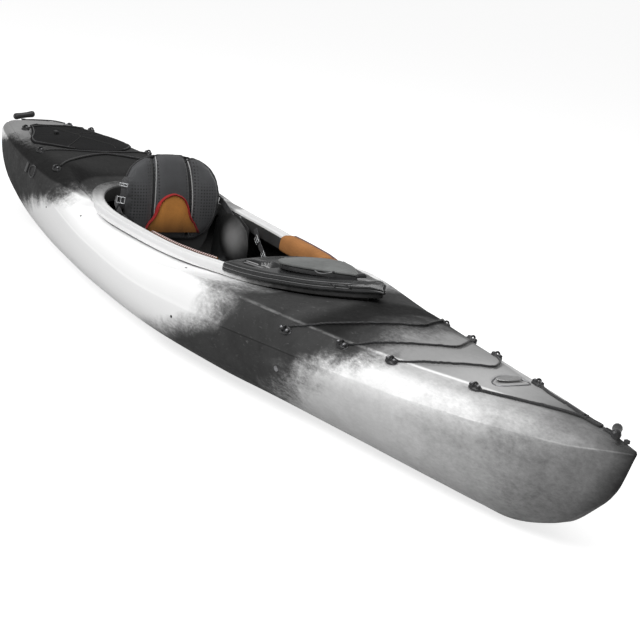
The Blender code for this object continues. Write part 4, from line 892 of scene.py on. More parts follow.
def puffed(obj, cap):
    """Cloth under pressure swells the closed mesh, no point further than the cap."""
    materials = list(obj.data.materials)
    remesh = obj.modifiers.new("remesh", "REMESH")
    remesh.mode = "VOXEL"
    remesh.voxel_size = PAD_VOXEL
    mesh = baked(obj)
    mesh.materials.clear()
    for material in materials:
        mesh.materials.append(material)
    start = [v.co.copy() for v in mesh.vertices]
    cloth = obj.modifiers.new("cloth", "CLOTH")
    cloth.settings.use_pressure = True
    cloth.settings.uniform_pressure_force = PAD_PRESSURE
    cloth.settings.effector_weights.gravity = 0.0
    cloth.settings.quality = 4
    cloth.point_cache.frame_start = 1
    cloth.point_cache.frame_end = PAD_FRAMES
    for frame_number in range(1, PAD_FRAMES + 1):
        SCENE.frame_set(frame_number)
    graph = bpy.context.evaluated_depsgraph_get()
    swollen = obj.evaluated_get(graph).to_mesh()
    places = [v.co.copy() for v in swollen.vertices]
    obj.evaluated_get(graph).to_mesh_clear()
    obj.modifiers.clear()
    SCENE.frame_set(1)
    for vertex, old, new in zip(mesh.vertices, start, places):
        move = new - old
        if move.length > cap:
            move *= cap / move.length
        vertex.co = old + move


def relaxed(obj):
    shape = bmesh.new()
    shape.from_mesh(obj.data)
    for _ in range(2):
        bmesh.ops.smooth_vert(shape, verts=shape.verts, factor=0.5, use_axis_x=True, use_axis_y=True,
                              use_axis_z=True)
    shape.to_mesh(obj.data)
    shape.free()


def subdivided(obj):
    modifier = obj.modifiers.new("subdivision", "SUBSURF")
    modifier.levels = modifier.render_levels = 1
    baked(obj)


# Other materials


def moulded(name, colour, rough=0.45, grain=900.0, depth=0.0006, mottle=0.12, speck=0.0):
    """Moulded plastic: a fine cast grain, cloudy gloss and a little uneven colour."""
    n = Nodes(name, rough=rough)
    high = tuple(min(c * (1 + mottle) + 0.002, 1) for c in colour)
    base = n.mix(n.ranged(n.noise(14.0, 4, 0.6), 0.3, 0.7), tinted(colour, 1 - mottle), high)
    if speck:
        base = n.mix(n.ranged(n.noise(420.0, 2, 0.7), 0.62, 0.75, 0.0, speck), base, grey(0.5))
    n.set("Base Color", base)
    n.set("Roughness", n.ranged(n.noise(35.0, 3, 0.6), 0.3, 0.7, rough - 0.07, rough + 0.08))
    n.set("Normal", n.bump(n.noise(grain, 3, 0.55), 0.35, depth))
    return n.material


def woven(name, colour, scale=520.0, depth=0.0007, rough=0.85, sheen=0.25, perforate=False, low_shade=None,
          gloss=0.5):
    """Plain weave of two thread directions, with a little fuzz and wear.

    The low shade, as (low z, high z, how dark), is painted shade that darkens the cloth toward its foot.
    """
    n = Nodes(name, rough=rough)
    x, y, z = n.split()
    across = n.math("SINE", y * (scale * 6.28 / 2))
    along = n.math("SINE", (z + x) * (scale * 6.28 / 2))
    height = n.ranged(across * along, -1.0, 1.0)
    shade = height * 0.35 + n.noise(9.0, 4, 0.6) * 0.65
    base = n.mix(n.ranged(shade, 0.25, 0.75), tinted(colour, 0.62), tinted(colour, 1.35))
    if perforate:
        cells = {"Vector": n.joined(0.0, y, z), "Scale": 92.0, "Randomness": 0.0}
        ring = n.ranged(n.node("ShaderNodeTexVoronoi", cells, "Distance"), 0.2, 0.28)
        out = abs(y)
        near = n.ranged(abs(out - 0.074), 0.027, 0.021)
        low = n.ranged(abs(out - 0.135), 0.036, 0.026) * (n.ranged(z, 0.4, 0.37) * n.ranged(z, 0.25, 0.28))
        ring = 1 - (1 - ring) * n.math("MAXIMUM", near, low)
        base = n.mix(ring, tinted(colour, 0.18), base)
        # Painted shade in the channels between the pad's panels.
        channel_shade = n.ranged(abs(out - 0.0725), 0.011, 0.004, smooth=True)
        base = n.mix(channel_shade * 0.72, base, tinted(colour, 0.12))
        height = (height * 0.4 + 0.6) * ring
    if low_shade:
        low, high, dark = low_shade
        base = n.mix(n.ranged(z, high, low, smooth=True), base, tinted(colour, dark))
    n.set("Base Color", base)
    n.set("Specular IOR Level", gloss)
    n.set("Sheen Weight", sheen)
    n.set("Sheen Roughness", 0.4)
    n.set("Normal", n.bump(height + n.noise(700.0, 2, 0.6) * 0.3, 0.55, depth))
    return n.material


def braided(name, colour, scale=260.0):
    """Kernmantle sheath: crossing strands with a few pale tracer threads."""
    n = Nodes(name, rough=0.7)
    x, y, z = n.split()
    one = n.math("SINE", (x + (y + z)) * (scale * 4))
    two = n.math("SINE", (x - (y - z)) * (scale * 4))
    plait = n.math("MAXIMUM", one, two)
    base = n.mix(n.ranged(plait, -0.4, 1.0), tinted(colour, 0.4), colour)
    tracer = n.ranged(one * two, 0.82, 0.95) * n.ranged(n.noise(60.0, 2), 0.5, 0.65)
    n.set("Base Color", n.mix(tracer, base, grey(0.2)))
    n.set("Sheen Weight", 0.15)
    n.set("Normal", n.bump(plait, 0.6, 0.0007))
    return n.material


def metal(name, colour=(0.62, 0.63, 0.64), rough=0.3):
    n = Nodes(name, rough=rough, metal=1.0)
    brushed = n.noise(60.0, 3, 0.6, vector=n.scaled((1, 14, 14)))
    n.set("Base Color", n.mix(brushed, tinted(colour, 0.82), colour))
    n.set("Roughness", n.ranged(brushed, 0.3, 0.7, rough - 0.08, rough + 0.12))
    n.set("Normal", n.bump(brushed, 0.1, 0.0003))
    return n.material


MATERIAL.update({
    "panel": moulded("panel_plastic", (0.02, 0.0205, 0.021), 0.24, grain=500.0, depth=0.00015, speck=0.02),
    # The trim's paler greys are painted highlights on the panel's dark plastic.
    "bar": moulded("panel_edge_highlight", (0.3, 0.3, 0.3), 0.25, grain=500.0, depth=0.0001),
    "edge": moulded("panel_rib_highlight", (0.14, 0.141, 0.142), 0.3, grain=500.0, depth=0.0001),
    "screw": metal("screw_steel", (0.28, 0.28, 0.29), 0.4),
    "lid": moulded("lid_plastic", (0.125, 0.13, 0.127), 0.44, grain=420.0, depth=0.0012, mottle=0.2,
                   speck=0.08),
    "black": moulded("black_plastic", (0.014, 0.014, 0.015), 0.38, speck=0.05),
    "pan": moulded("pan_plastic", (0.016, 0.0165, 0.017), 0.5, grain=500.0, depth=0.0005),
    "rubber": moulded("rubber_black", (0.012, 0.012, 0.012), 0.75, grain=1300.0),
    "cord": braided("cord_black", (0.02, 0.02, 0.021)),
    "bungee": braided("bungee_black", (0.016, 0.016, 0.017), scale=180.0),
    "seat": woven("seat_fabric", (0.052, 0.053, 0.056), perforate=True, rough=0.8, sheen=0.3),
    "piping": woven("piping", (0.012, 0.012, 0.013), scale=900.0, rough=0.6),
    "orange": woven("orange_fabric", (0.56, 0.23, 0.045), scale=650.0, sheen=0.1,
                    low_shade=(0.195, 0.3, 0.3)),
    "pad_orange": woven("thigh_fabric", (0.36, 0.16, 0.055), scale=650.0, sheen=0.0, gloss=0.2),
    "maroon": woven("maroon_binding", (0.09, 0.012, 0.012), scale=800.0, sheen=0.1),
    "steel": metal("buckle_steel", (0.5, 0.51, 0.52), 0.3),
    "red": woven("red_trim", (0.33, 0.008, 0.009), scale=800.0, sheen=0.05, low_shade=(0.195, 0.31, 0.35)),
    "cover": woven("cover_fabric", (0.006, 0.006, 0.0065), scale=330.0, depth=0.0006, sheen=0.0,
                   gloss=0.22),
    "webbing": woven("webbing", (0.03, 0.03, 0.032), scale=480.0, depth=0.0008, rough=0.65),
    "foam": moulded("foam", (0.68, 0.69, 0.72), 0.9, grain=260.0, depth=0.002, mottle=0.05),
    "alloy": metal("alloy"),
    "badge": metal("badge_metal", (0.5, 0.5, 0.5), 0.42),
    # Pale grey of the pad's raised seams: a painted highlight on them.
    "thread": moulded("thread", (0.36, 0.36, 0.36), 0.7),
})


def mesh_edge_material():
    """Open spacer mesh in dark red: pale ribs across the strip."""
    n = Nodes("spacer_mesh", rough=0.75)
    x, y, z = n.split()
    ribs = n.math("SINE", (x + y * 0.3) * 560.0)
    rows = n.math("SINE", z * 1400.0)
    gap = n.ranged(ribs * n.ranged(rows, -1, 1, 0.6, 1.0), -0.1, 0.5)
    gap = gap * n.ranged(y, 0.02, -0.02, 0.12, 1.0)
    n.set("Base Color", n.mix(gap, (0.06, 0.006, 0.008), (0.7, 0.55, 0.5)))
    n.set("Sheen Weight", 0.2)
    n.set("Normal", n.bump(gap, 0.8, 0.001))
    return n.material


def bolster_material():
    """Light grey in the middle, where the light catches it, and dark toward its edge."""
    n = Nodes("bolster_fabric", rough=0.6)
    x, y, z = n.split()
    along = (x + 0.418) / 0.088
    up = (z - 0.222) / 0.075
    out = n.math("SQRT", along * along + up * up)
    cloud = n.noise(22.0, 3, 0.6)
    full = n.ranged(out + cloud * 0.3, 1.25, 0.25, smooth=True)
    n.set("Base Color", n.mix(full, grey(0.012), grey(0.22)))
    n.set("Specular IOR Level", 0.2)
    weave = n.math("SINE", x * 2200.0) * n.math("SINE", z * 2200.0)
    n.set("Normal", n.bump(weave + cloud, 0.3, 0.0003))
    return n.material


MATERIAL["mesh_edge"] = mesh_edge_material()
MATERIAL["bolster"] = bolster_material()


# Work deck


PANEL_AFT_X = 0.235
PANEL_OVERHANG = 0.007
PANEL_RISE = 0.009
PANEL_CROWN = 0.014
PANEL_SHEET = 0.004
PANEL_NOSE = 0.01
PANEL_CORNER = 0.024
NOSE_REACH = 0.04
NOSE_DROP = 0.01
SKIRT_DROP = 0.016
SKIN_GAP = 0.0016
TRAY_PLACE = (0.303, 0.112)
TRAY_SIZE = (0.058, 0.05)
TRAY_DEPTH = 0.022
TRAY_POWER = 2.3
LID_AFT_X = 0.305
LID_SEAT_Z = 0.355
LID_SLOPE = 0.142
LID_LENGTH = 0.36
LID_WIDE = 0.151
LID_POINT = 0.7
GLOVE_BOX_DEPTH = 0.06
# Along the panel's edge and across its aft end, as (height, place, width)
PANEL_RIDGE = (0.0032, 0.02, 0.006)
PANEL_GROOVE = (-0.0034, 0.009, 0.0035)
PANEL_LIP = (0.0028, 0.006, 0.006)
PANEL_DIP = 0.003
# The panel's edge from the skirt's foot up, as (outward, share of its height)
PANEL_EDGE = [
    (-0.0035, 0.0), (-0.0008, 0.03), (0.0008, 0.12), (0.0014, 0.27), (0.0009, 0.42), (-0.0006, 0.5),
    (-0.0006, 0.56), (0.0006, 0.64), (0.0008, 0.76), (-0.0003, 0.87), (-0.0022, 0.95),
]
PANEL_SHARES = [1.0, 0.985, 0.97, 0.955, 0.94, 0.925, 0.91, 0.895, 0.88, 0.86, 0.84, 0.81]
PANEL_SHARES += [0.78 - 0.03 * k for k in range(26)]
VOID_SHARES = [0.92, 0.85, 0.79, 0.73, 0.67, 0.61, 0.55, 0.49, 0.43, 0.37, 0.3, 0.2, 0.1]


def panel_half_width(x):
    full = rim_half_width(min(x, RIM_FORE_X)) + PANEL_OVERHANG
    if x < PANEL_AFT_X + PANEL_CORNER:
        full -= PANEL_CORNER * (1 - (x - PANEL_AFT_X) / PANEL_CORNER) ** 2
    if x > RIM_FORE_X:
        full -= PANEL_OVERHANG * 0.6 * (x - RIM_FORE_X) / PANEL_NOSE
    return full


def tray_level(x, y):
    u = (x - TRAY_PLACE[0]) / TRAY_SIZE[0]
    v = (abs(y) - TRAY_PLACE[1] + 0.3 * (x - TRAY_PLACE[0])) / TRAY_SIZE[1]
    return rounded(u, v, TRAY_POWER)


def panel_top(x, y):
    half = panel_half_width(x)
    share = min(abs(y) / half, 1.0)
    z = rim_top(x) + PANEL_RISE + PANEL_CROWN * (1 - share * share)
    inward = half - abs(y)
    ends = eased((x - PANEL_AFT_X - 0.004) / 0.02) * eased((RIM_FORE_X - 0.03 - x) / 0.05)
    z += (relief(inward, PANEL_RIDGE) + relief(inward, PANEL_GROOVE)) * ends
    z -= PANEL_DIP * eased((inward - 0.026) / 0.008) * ends
    z += relief(x - PANEL_AFT_X, PANEL_LIP) * (1 - share ** 4)
    z -= TRAY_DEPTH * eased((1 - tray_level(x, y)) / 0.25)
    return z - NOSE_DROP * eased((x - RIM_FORE_X - PANEL_NOSE + NOSE_REACH) / NOSE_REACH)


def panel_loop(x):
    w = panel_half_width(x)
    low = rim_top(x) - SKIRT_DROP
    high = panel_top(x, w)
    side = [(w + out, low + (high - low) * share) for out, share in PANEL_EDGE]
    flat = max(w - 0.0045, 0.0005)
    side += [(flat * s, panel_top(x, flat * s)) for s in PANEL_SHARES]
    return on_side(x, side, 1) + [(x, 0.0, panel_top(x, 0.0))] + on_side(x, side, -1)


def panel_void(x):
    w = rim_half_width(min(x, RIM_FORE_X)) + SKIN_GAP
    half = [(w, rim_top(x) - 0.09), (w, rim_top(x) + SKIN_GAP)]
    for share in VOID_SHARES:
        y = w * share
        half.append((y, min(panel_top(x, y * k) for k in (0.98, 1.0, 1.02)) - PANEL_SHEET))
    return on_side(x, half, 1) + [(x, 0.0, panel_top(x, 0.0) - PANEL_SHEET)] + on_side(x, half, -1)


# X forward along the lid's seat, Z out of it, origin at its hinge edge
LID = Matrix.Translation((LID_AFT_X, 0, LID_SEAT_Z)) @ Matrix.Rotation(-math.atan(LID_SLOPE), 4, "Y")
LID_SIDES = 72


def lid_ring(scale, z):
    """Teardrop outline, round at the hinge and pointed forward."""
    ring = []
    for c, s in circle(LID_SIDES):
        y = LID_WIDE * scale * s * ((1 - c) / 2) ** LID_POINT
        ring.append(LID @ Vector((LID_LENGTH / 2 * (1 + scale * c), y, z)))
    return ring


TRAY_BAR = [(0.252, 0.15, 0.331), (0.266, 0.151, 0.336), (0.29, 0.148, 0.338), (0.315, 0.141, 0.339),
            (0.336, 0.131, 0.339), (0.349, 0.122, 0.336)]
TRAY_LIP = [(0.245, 0.139, 0.3355), (0.262, 0.1375, 0.3385), (0.285, 0.134, 0.34), (0.305, 0.13, 0.341)]
TRAY_TIP = [(0.318, 0.127, 0.3425), (0.335, 0.1235, 0.345), (0.356, 0.1195, 0.3445)]
HOOK_ARCH = [(-0.013, 0.0, -0.004), (-0.008, 0.003, 0.001), (0.0, 0.004, 0.002), (0.008, 0.0025, 0.001),
             (0.013, 0.0, -0.004)]


def mirrored(points, side):
    return [(x, side * y, z) for x, y, z in points]


def tray_trim(name, route, side, mark, radius, material, sides, flat):
    points = even_route(mirrored(route, side), 0.004)
    sweep(f"tray_{name}_{mark}", points, radius, material, "work_deck", sides, flat)


def make_work_deck():
    nose = RIM_FORE_X + PANEL_NOSE
    xs = spans((PANEL_AFT_X, PANEL_AFT_X + 0.02, 0.0022), (PANEL_AFT_X + 0.02, 0.38, 0.0045),
               (0.38, 0.74, 0.012), (0.74, nose, 0.004))
    panel = loft("deck_panel", [panel_loop(x) for x in xs + [nose]])
    inner = spans((PANEL_AFT_X + 0.002, 0.38, 0.006), (0.38, RIM_FORE_X - 0.012, 0.02))
    inner = [PANEL_AFT_X - 0.035] + inner + [RIM_FORE_X + SKIN_GAP]
    cut(panel, loft("panel_void", [panel_void(x) for x in inner]), "DIFFERENCE")
    cut(panel, loft("boss", [lid_ring(0.94, -0.0123), lid_ring(0.94, 0.0)]), "UNION")
    cut(panel, loft("cup", [lid_ring(0.66, -GLOVE_BOX_DEPTH), lid_ring(0.7, -0.002)]), "UNION")
    floor = -GLOVE_BOX_DEPTH + PANEL_SHEET
    cut(panel, loft("cup_void", [lid_ring(0.6, floor), lid_ring(0.64, 0.02)]), "DIFFERENCE")
    finish_piece(panel, "panel", "work_deck", sharp=38)
    stands_for(panel, "work_deck")
    for side, mark in SIDES:
        block(f"lid_lug_{mark}", (-0.016, side * 0.037, -0.011), (-0.002, side * 0.046, 0.009), LID,
              "panel", "work_deck", 0.0015)
        # The tray trims and edge ribs take the paler greys: painted highlights.
        tray_trim("bar", TRAY_BAR, side, mark, 0.0055, "edge", 14, 0.55)
        for inset, drop, tag in ((0.0035, 0.0, "top"), (-0.0002, 0.0125, "low")):
            rib = []
            for x in spread(PANEL_AFT_X + 0.016, 0.72, 0.012):
                y = panel_half_width(x) - inset
                rib.append((x, side * y, panel_top(x, y) - drop + 0.0004))
            sweep(f"edge_rib_{tag}_{mark}", rib, 0.0014, "edge", "work_deck", 8)
        tray_trim("lip", TRAY_LIP, side, mark, 0.003, "bar", 10, 0.6)
        tray_trim("tip", TRAY_TIP, side, mark, 0.003, "bar", 10, 0.6)
        for i, x in enumerate((0.655, 0.7)):
            y = panel_half_width(x) - 0.003
            z = panel_top(x, y) - 0.006
            arch = mirrored([(x + a, y + b, z + c) for a, b, c in HOOK_ARCH], side)
            sweep(f"hook_notch_{mark}_{i + 1}", even_route(arch, 0.002), 0.0022, "black", "work_deck", 8)


LID_PROFILE = [
    (0.9, 0.0018), (0.985, 0.0022), (0.998, 0.0032), (1.0, 0.0062), (0.995, 0.0082), (0.98, 0.0098),
    (0.955, 0.0108), (0.925, 0.0112), (0.915, 0.0106), (0.9, 0.0105), (0.885, 0.0118), (0.86, 0.0132),
    (0.8, 0.0151), (0.7, 0.0172), (0.55, 0.0188), (0.38, 0.0197), (0.2, 0.02), (0.05, 0.0201),
]
SEAL_PROFILE = [(0.9, 0.0004), (0.9, 0.0016), (0.87, 0.0017), (0.85, 0.0012), (0.85, 0.0004)]
TETHER = [(0.214, -0.0665, 0.006), (0.228, -0.071, 0.002), (0.25, -0.0735, -0.002), (0.268, -0.068, -0.001),
          (0.285, -0.062, 0.003), (0.296, -0.053, 0.007)]


def make_lid():
    shell = loft("deck_lid_cover", [lid_ring(*p) for p in LID_PROFILE], "lid", "deck_lid", sharp=50)
    stands_for(shell, "work_deck_lid")
    rings = zip(*[lid_ring(*p) for p in SEAL_PROFILE])
    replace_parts(loft("lid_seal", list(rings), "rubber", "work_deck", ring=True), "lid_gasket")
    tether = even_route([LID @ Vector(p) for p in TETHER], 0.003)
    sweep("lid_tether", tether, 0.0022, "edge", "deck_lid", 10)
    for k, (x, y) in enumerate(((0.214, -0.0655), (0.296, -0.0515))):
        turned(f"tether_end_{k + 1}", [(0.004, -0.003), (0.0045, 0.001), (0.0035, 0.004), (0.0012, 0.005)],
               LID @ Matrix.Translation((x, y, 0.006)), 18, "black", body="deck_lid")


def make_latch():
    """Latch tab: a bevelled body, a thumb ridge and two side webs."""
    near = LID_LENGTH + 0.0012
    far = LID_LENGTH + 0.0136
    parts = [((near, -0.0165, 0.0006), (far, 0.0165, 0.0085), 0.0022),
             ((near + 0.003, -0.0145, 0.008), (near + 0.007, 0.0145, 0.0118), 0.0016)]
    for y in (-0.0135, 0.0105):
        parts.append(((near + 0.001, y, 0.007), (far - 0.001, y + 0.003, 0.0108), 0.001))
    pieces = [block(f"latch_{k}", low, high, LID, "black", "lid_latch", bevel)
              for k, (low, high, bevel) in enumerate(parts)]
    stands_for(merged("latch_tab", pieces, "lid_latch"), "lid_latch")


make_work_deck()
make_lid()
make_latch()


# Seat


PAN_FLOOR_Z = 0.045
PAN_SHEET = 0.005
PAN_HALF_WIDTH = 0.226
PAN_TOP_Z = [
    (-0.58, 0.25), (-0.56, 0.288), (-0.46, 0.3), (-0.43, 0.298), (-0.36, 0.277), (-0.352, 0.268),
    (-0.346, 0.115), (-0.2, 0.09), (-0.11, 0.07), (-0.09, 0.062),
]
PAN_FOOT = [(0.05, 0.0), (0.1, 0.0), (0.14, 0.0), (0.165, 0.0018), (0.184, 0.0058), (0.198, 0.0125)]
BACK_HINGE = (-0.525, 0.0, 0.115)
BACK_LEAN = 12.0
BACK_PAD_THICKNESS = 0.05
BACK_CHANNEL_Y = 0.072
CUSHION_X = (-0.5, -0.125)
CUSHION_HALF_WIDTH = 0.185
CUSHION_THICKNESS = 0.045
BACK_OUTLINE = [
    (0.07, 0.1), (0.085, 0.135), (0.11, 0.163), (0.17, 0.189), (0.23, 0.196), (0.28, 0.188), (0.315, 0.17),
    (0.342, 0.142), (0.36, 0.105), (0.373, 0.055),
]
BACK_FRAME_OUTLINE = [
    (0.0058, 0.1), (0.05, 0.14), (0.12, 0.165), (0.2, 0.175), (0.29, 0.168), (0.335, 0.136), (0.362, 0.078),
]
BACK_LOW = 0.07
BACK_RISE = 0.303
PIPING_LEVEL = 0.0145
PIPING_MIDDLE = 0.22
FRAME_LOW = 0.0058
FRAME_TOP = 0.362
PATCH_LOW = 0.098
PATCH_TOP = 0.2305
BACK_PLATE = 0.005
BOLSTER_PLACE = (-0.435, 0.2165, 0.21)
BOLSTER_HALF = (0.105, 0.085)
BOLSTER_DEPTH = 0.019
BOLSTER_ROUNDING = 0.42
BOLSTER_SLOPE = 0.16
BACK_GAP = 0.0015
PATCH_EDGE = [
    (0.13, 0.09), (0.143, 0.077), (0.163, 0.066), (0.187, 0.059), (0.207, 0.047), (0.222, 0.03),
    (0.229, 0.011),
]
# Ribs and grooves, as (height or depth, place, width)
PLATE_RIBS = [(0.0012, 0.05, 0.006), (0.0012, 0.11, 0.006)]
PAD_EDGE_GROOVE = (0.0035, 0.014, 0.005)
CUSHION_CROSS_GROOVE = (0.005, 0.38, 0.018)
PATCH_GAP = 0.0002
PATCH_THICKNESS = 0.0022
SEAT_GAP = 0.0004
CHANNEL_CUT = 0.0095
BACK = Matrix.Translation(BACK_HINGE) @ Matrix.Rotation(math.radians(-BACK_LEAN), 4, "Y")
back_half = curve_through(BACK_OUTLINE)
frame_half = curve_through(BACK_FRAME_OUTLINE)
PAD_SHARES = [
    -1, -0.985, -0.955, -0.91, -0.85, -0.77, -0.68, -0.59, -0.5, -0.44, -0.39, -0.34, -0.29, -0.23, -0.15,
    -0.07, 0, 0.07, 0.15, 0.23, 0.29, 0.34, 0.39, 0.44, 0.5, 0.59, 0.68, 0.77, 0.85, 0.91, 0.955, 0.985, 1,
]


def pad_grid(rows, shares, place):
    """Closed pad: a front grid, a back grid and the edge between them."""
    verts = [place(i, share, layer) for layer in (0, 1) for i in range(rows) for share in shares]
    cols = len(shares)
    faces = []
    for layer in (0, 1):
        base = layer * rows * cols
        for i in range(rows - 1):
            for j in range(cols - 1):
                a = base + i * cols + j
                face = (a, a + 1, a + cols + 1, a + cols)
                faces.append(face if layer else tuple(reversed(face)))
    rim = [(0, j) for j in range(cols)]
    rim += [(i, cols - 1) for i in range(1, rows)]
    rim += [(rows - 1, j) for j in range(cols - 2, -1, -1)]
    rim += [(i, 0) for i in range(rows - 2, 0, -1)]
    back = [i * cols + j for i, j in rim]
    front = [rows * cols + k for k in back]
    for k in range(len(rim)):
        n = (k + 1) % len(rim)
        faces.append((back[k], back[n], front[n], front[k]))
    return verts, faces


def pillow(share):
    return (1 - abs(share) ** 2.9) ** 0.55


def wrap(y):
    """How far the seat back curves forward at this distance from its middle."""
    return 0.03 * (y / 0.2) ** 2


def channel(run):
    """A channel's distance from the back pad's middle, at this share of its height."""
    return BACK_CHANNEL_Y + 0.006 * math.sin(math.pi * run) - 0.01 * run


def at_pad(tree, y, height):
    """Point of the back pad's front face, or None beside the pad."""
    hit, _, _, _ = tree.ray_cast(BACK @ Vector((0.25, y, height)), BACK.to_3x3() @ Vector((-1, 0, 0)))
    return hit


def make_seat_pan():
    tops = PAN_TOP_Z
    xs = spans(*[(a, b, 0.008) for (a, _), (b, _) in zip(tops, tops[1:])]) + [tops[-1][0]]

    def top_at(x):
        for (a, za), (b, zb) in zip(tops, tops[1:]):
            if x <= b:
                return za + (zb - za) * (x - a) / (b - a)
        return tops[-1][1]

    sections = []
    for x in xs:
        top = top_at(x)
        outer = [(y, PAN_FLOOR_Z + rise) for y, rise in PAN_FOOT]
        bend = min(PAN_FLOOR_Z + 0.045, top - 0.004)
        low_z = outer[-1][1]
        for k in range(1, 5):
            t = k / 4
            outer.append((0.198 + 0.022 * (1 - (1 - t) ** 2), low_z + (bend - low_z) * t))
        outer += [(0.22 + 0.006 * k / 8, bend + (top - bend) * k / 8) for k in range(1, 9)]
        swell = eased((x + 0.575) / 0.03) * eased((-0.35 - x) / 0.03)
        inner = []
        for y, z in outer:
            inset = PAN_SHEET
            if z > 0.15:
                rise = min((z - 0.15) / max(top - 0.15, 0.02), 1.0)
                inset += 0.004 * swell * math.sin(math.pi * rise) ** 0.6
            inner.append((y - inset, max(z, PAN_FLOOR_Z + PAN_SHEET) if y < 0.2 else z))
        inner[-1] = (inner[-1][0] + 0.001, top)
        crest = [(PAN_HALF_WIDTH - 0.0012, top + 0.001), (PAN_HALF_WIDTH - 0.0036, top + 0.001)]
        half = outer + crest + inner[::-1]
        sections.append([(x, 0.0, PAN_FLOOR_Z)] + on_side(x, half, 1)
                        + [(x, 0.0, PAN_FLOOR_Z + PAN_SHEET)] + on_side(x, half, -1))
    pan = loft("seat_shell", sections, sharp=60)
    for side in (-1, 1):
        low, high = (-0.5, side * 0.1 - 0.014, 0.0085), (-0.2, side * 0.1 + 0.014, 0.048)
        cut(pan, block("pan_foot", low, high, Matrix.Identity(4), None, None, 0.003), "UNION")
    finish_piece(pan, "pan", "hull", sharp=45)
    stands_for(pan, "seat_pan")


def make_back_pad():
    heights = [BACK_LOW + BACK_RISE * k / 30 for k in range(31)]

    def place(i, share, layer):
        height = heights[i]
        half = back_half(height)
        y = half * share
        if not layer:
            return BACK @ Vector((BACK_PLATE + BACK_GAP + wrap(y) + 0.0005, y, height))
        run = (height - BACK_LOW) / BACK_RISE
        tip = math.sin(math.pi * (0.05 + 0.9 * run)) ** 0.62
        full = (BACK_PAD_THICKNESS - 0.004) * pillow(min(abs(y) / half, 1.0)) * tip
        groove = 0.005 * bump(abs(y) - BACK_CHANNEL_Y, 0.014) * tip
        depth = BACK_PLATE + BACK_GAP + 0.01 + max(full - groove - 0.01, 0.002) + wrap(y)
        return BACK @ Vector((depth, y, height))

    verts, faces = pad_grid(len(heights), PAD_SHARES, place)
    pad = add("back_pad", verts, faces, "seat", None)
    puffed(pad, 0.007)
    relaxed(pad)
    inverse = BACK.inverted()
    for vertex in pad.data.vertices:
        p = inverse @ vertex.co
        if p.x < BACK_PLATE + BACK_GAP + wrap(p.y) + 0.012:
            p.x = max(p.x, BACK_PLATE + BACK_GAP + wrap(p.y))
        else:
            run = (p.z - BACK_LOW) / BACK_RISE
            off = abs(p.y) - channel(run)
            fade = eased(run / 0.1) * eased((1 - run) / 0.06)
            p.x -= (CHANNEL_CUT * bump(off, 0.0062) + CHANNEL_CUT * bump(off, 0.024)) * fade
            edge = back_half(min(max(p.z, BACK_LOW), BACK_LOW + BACK_RISE)) - abs(p.y)
            if edge > 0.004:
                p.x -= relief(edge, PAD_EDGE_GROOVE)
        vertex.co = BACK @ p
    subdivided(pad)
    finish_piece(pad, "seat", "seat_back")
    stands_for(pad, "seat_back_pad")
    return pad


def make_back_piping(tree):
    """Cord round the pad's front edge and a raised seam beside each channel."""
    inverse = BACK.inverted()
    points = []
    for c, s in circle(120):
        out = Vector((0, c, s))
        start = Vector((PIPING_LEVEL + wrap(0.17 * c), 0, PIPING_MIDDLE)) + out * 0.3
        hit, _, _, _ = tree.ray_cast(BACK @ start, BACK.to_3x3() @ -out)
        if hit:
            spot = inverse @ hit
            points.append(BACK @ Vector((PIPING_LEVEL + wrap(spot.y), spot.y, spot.z)))
    sweep("pad_piping", points, 0.0032, "piping", "seat_back", 8, closed=True)
    for side, mark in SIDES:
        points = []
        for k in range(41):
            run = 0.06 + 0.9 * k / 40
            hit = at_pad(tree, side * channel(run) + 0.0075, BACK_LOW + BACK_RISE * run)
            if hit:
                points.append(hit + BACK.to_3x3() @ Vector((0.0004, 0, 0)))
        # The seam's pale grey is a painted highlight.
        sweep(f"pad_seam_{mark}", points, 0.0021, "thread", "seat_back", 8)


PATCH_ROWS = 34
PATCH_STEP = 0.008
PATCH_REACH = 14


def make_patch(tree):
    """Orange patch with a red border, sewn over the lower middle of the pad."""
    edge = curve_through(PATCH_EDGE + [(PATCH_TOP + 0.0005, 0.004)])
    inverse = BACK.inverted()

    def half_at(height):
        if height < PATCH_EDGE[0][0]:
            return PATCH_EDGE[0][1] + (PATCH_EDGE[0][0] - height) * 0.6
        return edge(height)

    def depth_at(height, y):
        hit = at_pad(tree, y, height)
        return (inverse @ hit).x if hit else BACK_PLATE + 0.05

    runs = [k / (PATCH_ROWS - 1) for k in range(PATCH_ROWS)]
    heights = [PATCH_LOW + (PATCH_TOP - PATCH_LOW) * (1 - (1 - run) ** 1.6) for run in runs]
    depths = {height: [depth_at(height, y * PATCH_STEP) for y in range(-PATCH_REACH, PATCH_REACH + 1)]
              for height in heights}

    def base_at(height, y):
        row = depths[height]
        place = min(max(y / PATCH_STEP + PATCH_REACH, 0), 2 * PATCH_REACH - 0.001)
        k = int(place)
        return max(row[k] + (row[k + 1] - row[k]) * (place - k), row[PATCH_REACH] - 0.003)

    sections = []
    for height in heights:
        rear = []
        fore = []
        for s in [-1 + k / 12 for k in range(25)]:
            y = half_at(height) * s
            base = base_at(height, y)
            crown = 0.0018 * (1 - abs(s) ** 4)
            rear.append(BACK @ Vector((base + PATCH_GAP, y, height)))
            fore.append(BACK @ Vector((base + PATCH_THICKNESS + crown, y, height)))
        sections.append(rear + fore[::-1])
    patch = loft("sewn_patch", sections, "orange", "seat_back", sharp=50)
    stands_for(patch, "lumbar_patch")
    path = [(h, half_at(h)) for h in heights] + [(h, -half_at(h)) for h in reversed(heights)]
    points = [BACK @ Vector((base_at(height, y) + PATCH_THICKNESS, y, height)) for height, y in path]
    border = sweep("sewn_border", points, 0.0082, "red", "seat_back", 12, 0.42)
    stands_for(border, "lumbar_border")


